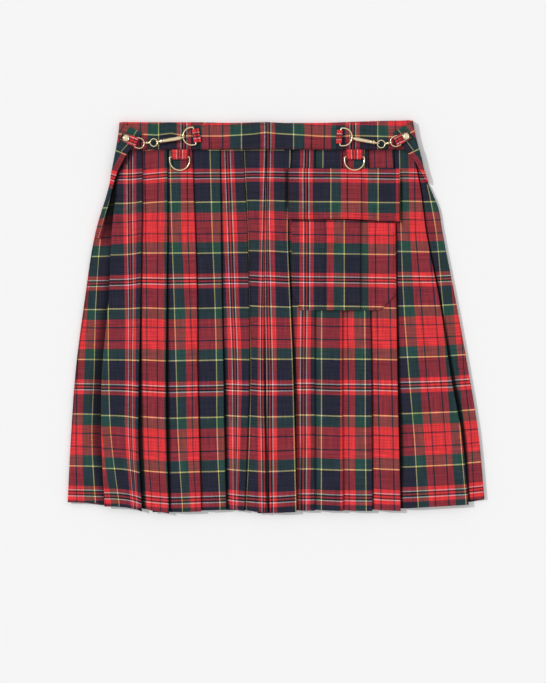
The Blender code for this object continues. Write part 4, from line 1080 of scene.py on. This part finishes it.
def makeTab(name, bar, angle, width, wire, reach, floor, sett, slack, shade, restsOn):
    heading = flatWay(angle)
    aside = Vector((-heading.y, heading.x, 0.0))
    wall, wireGap = hardware["solidTabWall"], hardware["wireGap"]
    radius = wire + wireGap + wall / 2
    low = floor + wall / 2
    high = low + wall + wireGap
    parting = min(hardware["parting"], reach * 0.55)
    section = level(np.linspace(-reach, -parting, 6), high)
    endU, endZ = -radius * 0.6, bar.z + radius * 0.82
    section += [(-parting + (endU + parting) * along, high + (endZ - high) * up) for along, up in tabRise]
    section += [(radius * math.cos(a) + slack * max(math.cos(a), 0), bar.z + radius * math.sin(a))
                for a in np.radians(np.linspace(100, -90, 14))]
    section += [(-parting * 0.5, (bar.z - radius + low) / 2), (-parting, low), (-reach, low)]
    steps = [0] + [math.dist(a, b) for a, b in zip(section, section[1:])]
    run = np.cumsum(steps) / pixel
    rows = []
    for side in np.linspace(-width / 2, width / 2, 13):
        points = []
        for (u, z), along in zip(section, run):
            spot = Vector((bar.x, bar.y, 0)) + heading * u + aside * side * (0.94 if u > 0 else 1)
            spot = spot + Vector((0, 0, z))
            # painted shade: the strap darkens towards its free end, past the stud
            tone = 1 - shade * (1 - ease((u + reach) / 6.5))
            points.append((*spot, side / pixel, sett[0] + sett[1] * along, tone))
        rows.append(points)
    made = clothShell(f"{name}_cloth", rows, hardware["tabWall"], tuple(heading))
    layCloth(made, name, "folded", restsOn)

def makeHook(side, start, end):
    length = (end - start).length
    wire = hardware["hookWire"]
    eyeBend = 2 * wire + hardware["wireGap"]
    ringBend = hardware["claspRing"][2] + hardware["wireGap"] + wire
    path = [(eyeBend * math.cos(a), eyeBend * math.sin(a), wire) for a in np.radians(np.linspace(-70, -262, 16))]
    path += hookNeck
    path += [(10.5 + (length - 6.4 - 10.5) * t, 0.3, 2.55 + 0.3 * t) for t in np.linspace(0, 1, 8)]
    path += [(length + u, z, radius) for u, z, radius in hookNose]
    path += [(length + ringBend * math.cos(a), ringBend * math.sin(a), wire)
             for a in np.radians(np.linspace(115, -100, 18))]
    heading = (end - start).normalized()
    upward = heading.cross(across(heading))
    curve = newWire(f"snap_hook_{side}_brass")
    addSpline(curve, [start + heading * u + upward * z for u, z, _ in path], [radius for _, _, radius in path])
    placeBrass(addObject(curve.name, curve), f"snap_hook_{side}")

def makeEye(side, bead, tangent, eye):
    heading = (eye - bead).normalized()
    radius, wire = hardware["eyeRadius"], hardware["hookWire"]
    ring = [eye + heading * radius * math.cos(a) * (0.92 + 0.08 * abs(math.cos(a))**3)
            + across(heading) * radius * math.sin(a) for a in np.linspace(0, 2 * math.pi, 41)[:-1]]
    beadRadius = hardware["strapRing"][2] + hardware["wireGap"] + wire
    outward = tangent.cross(Vector((0, 0, 1))).normalized()
    loop = [bead + outward * beadRadius * math.cos(a) + Vector((0, 0, beadRadius * math.sin(a)))
            for a in np.linspace(0, 2 * math.pi, 25)[:-1]]
    neckStart, neckEnd = bead + heading * (beadRadius - 0.2), eye - heading * (radius - 0.2)
    curve = newWire(f"swivel_eye_{side}_brass")
    addSpline(curve, ring, [wire] * len(ring), True)
    addSpline(curve, loop, [wire] * len(loop), True)
    addSpline(curve, [neckStart.lerp(neckEnd, t) for t, _ in eyeNeck], [size for _, size in eyeNeck])
    placeBrass(addObject(curve.name, curve), f"swivel_eye_{side}")

def makeStud(side, place):
    radius, sides, foot = stud["radius"], stud["sides"], stud["rim"][-1]
    profile = [(radius * share, z) for share, z in stud["rim"]]
    profile += [(radius * foot[0] * math.cos(a), foot[1] + (stud["height"] - foot[1]) * 0.5 * math.sin(a))
                for a in np.radians((15, 30, 45, 60, 75, 85))]
    shaped = bmesh.new()
    rings = [[shaped.verts.new(((place.x + r * math.cos(a)) * mm, (place.y + r * math.sin(a)) * mm,
                                (place.z + z) * mm)) for a in np.linspace(0, 2 * math.pi, sides + 1)[:-1]]
             for r, z in profile]
    for low, high in zip(rings, rings[1:]):
        for i in range(sides):
            j = (i + 1) % sides
            shaped.faces.new((low[i], low[j], high[j], high[i]))
    shaped.faces.new(rings[-1])
    shaped.faces.new(rings[0][::-1])
    mesh = bpy.data.meshes.new(f"stud_{side}_brass")
    shaped.to_mesh(mesh)
    shaped.free()
    mesh.shade_smooth()
    mesh.set_sharp_from_angle(angle=math.radians(50))
    mesh.materials.append(brassMaterial)
    placeBrass(addObject(mesh.name, mesh), f"stud_{side}")

strapFloor = bandTop + turned["bandWall"] + gap
hangingFloor = frontTop(hardware["hangingBarY"]) + gap
loopRise = hardware["solidTabWall"] + hardware["wireGap"]
ring, strapRing, hangingRing = hardware["claspRing"], hardware["strapRing"], hardware["hangingRing"]
for clasp in clasps:
    side = clasp["side"]
    bar = Vector((*clasp["ring"], bandTop + loopRise + ring[2]))
    strapBar = Vector((*clasp["strapRing"], strapFloor + loopRise + strapRing[2]))
    hangingBar = Vector((clasp["hangingX"], hardware["hangingBarY"], hangingFloor + loopRise + hangingRing[2]))
    reach = abs(clasp["tabX"] - clasp["ring"][0]) / abs(math.cos(math.radians(clasp["ringAngle"])))
    makeTab(f"clasp_tab_{side}", bar, clasp["ringAngle"], hardware["claspTabWidth"], ring[2], reach, bandTop,
            (45.5, 1), 0, 0, f"band_front_{side}")
    makeRing(f"clasp_ring_{side}_brass", f"clasp_ring_{side}", ring, bar, clasp["ringAngle"],
             hardware["claspLean"], "skirt")
    makeTab(f"strap_{side}", strapBar, clasp["strapAngle"], hardware["strapWidth"], strapRing[2],
            clasp["strapLength"], strapFloor, (28.9, 1.3), clasp["strapSlack"], 0.7, f"band_side_{side}")
    makeRing(f"strap_ring_{side}_brass", f"strap_ring_{side}", strapRing, strapBar, clasp["strapRingAngle"], 0,
             "skirt")
    studPlace = strapBar - flatWay(clasp["strapAngle"]) * clasp["studAlong"]
    studPlace.z = strapFloor + 2 * hardware["solidTabWall"] + hardware["wireGap"] + 0.1
    makeStud(side, studPlace)
    hookEnd, _ = bowPoint(ring, bar, clasp["ringAngle"], hardware["claspLean"], clasp["hookBend"])
    bead, tangent = bowPoint(strapRing, strapBar, clasp["strapRingAngle"], 0, clasp["beadBend"])
    strapZ = strapFloor + loopRise + strapRing[2]
    eye = Vector((*clasp["eye"], strapZ + (hookEnd.z - strapZ) * 0.4))
    makeEye(side, bead, tangent, eye)
    # the hook sits on the eye's rim, on the side that faces the clasp ring
    lengthways = (eye - bead).normalized()
    aside = across(lengthways)
    run = hookEnd - eye
    held = (lengthways * run.dot(lengthways) + aside * run.dot(aside)).normalized()
    makeHook(side, eye + held * hardware["eyeRadius"], hookEnd)
    makeTab(f"hanging_tab_{side}", hangingBar, -90, hardware["hangingTabWidth"], hangingRing[2],
            panels["seamY"] - hardware["hangingBarY"], hangingFloor, (50, 1), 0.9, 0, "front_cloth")
    makeRing(f"hanging_ring_{side}_brass", f"hanging_ring_{side}", hangingRing, hangingBar, -90,
             clasp["hangingLean"], f"ring_{side}")
print("tabs, rings, hooks and studs made")

# The studio: board, sky, sun and camera
studio = {
    "floor": "#F2F2F2",
    "floorMetres": 6.0,
    "sunPower": 1.37,
    "sunAngle": 1.2,  # degrees across, for a shadow with a nearly sharp edge
    "sunTravel": (0.85, -0.36, -1.0),
    "sunPlace": (-0.8, 0.4, 1.2),
    "skyTopAt": 0.75,
    "skyTop": 0.85,
    "skySide": 0.12,
    "cameraLens": 100.0,
    "cameraSensor": 36.0,
    "cameraFocusUp": 0.008,  # the height at which the photo's scale holds
}

# Painted board under the skirt: pale, even and matt.
def paintedBoard():
    material, tree = newMaterial("painted_board")
    shader = node(tree, "BsdfPrincipled", {
        "Base Color": toLinear(studio["floor"]), "Roughness": 0.95, "Specular IOR Level": 0.0}, "BSDF")
    node(tree, "OutputMaterial", {"Surface": shader})
    return material

def makeStudio():
    half = studio["floorMetres"] / 2
    mesh = bpy.data.meshes.new("board")
    corners = [(x * half, y * half, 0) for x, y in ((-1, -1), (1, -1), (1, 1), (-1, 1))]
    mesh.from_pydata(corners, [], [(0, 1, 2, 3)])
    mesh.materials.append(paintedBoard())
    addObject("board", mesh)

    world = bpy.data.worlds.new("softSky")
    bpy.context.scene.world = world
    world.use_nodes = True
    tree = world.node_tree
    tree.nodes.clear()
    place = node(tree, "TexCoord", None, "Generated")
    up = node(tree, "SeparateXYZ", {"Vector": place}, "Z")
    height = node(tree, "MapRange", {"Value": up, "From Min": 0.0, "From Max": studio["skyTopAt"],
                                     "To Min": studio["skySide"], "To Max": studio["skyTop"]}, "Result")
    sky = node(tree, "Background", {"Color": (1.0, 1.0, 1.0, 1.0), "Strength": height}, "Background")
    node(tree, "OutputWorld", {"Surface": sky})

    sun = bpy.data.lights.new("studioSun", "SUN")
    sun.energy = studio["sunPower"]
    sun.angle = math.radians(studio["sunAngle"])
    sunObject = addObject("studioSun", sun)
    sunObject.rotation_euler = Vector(studio["sunTravel"]).to_track_quat("-Z", "Y").to_euler()
    sunObject.location = studio["sunPlace"]

    camera = bpy.data.cameras.new("overhead")
    camera.sensor_fit = "VERTICAL"
    camera.sensor_height = studio["cameraSensor"]
    camera.lens = studio["cameraLens"]
    away = photo["height"] * pixel * mm * camera.lens / camera.sensor_height
    cameraObject = addObject("overhead", camera)
    cameraObject.location = (fromPixelX(photo["width"] / 2) * mm, fromPixelY(photo["height"] / 2) * mm,
                             studio["cameraFocusUp"] + away)
    bpy.context.scene.camera = cameraObject
    bpy.context.scene.view_settings.view_transform = "Standard"

makeStudio()
print("studio made")
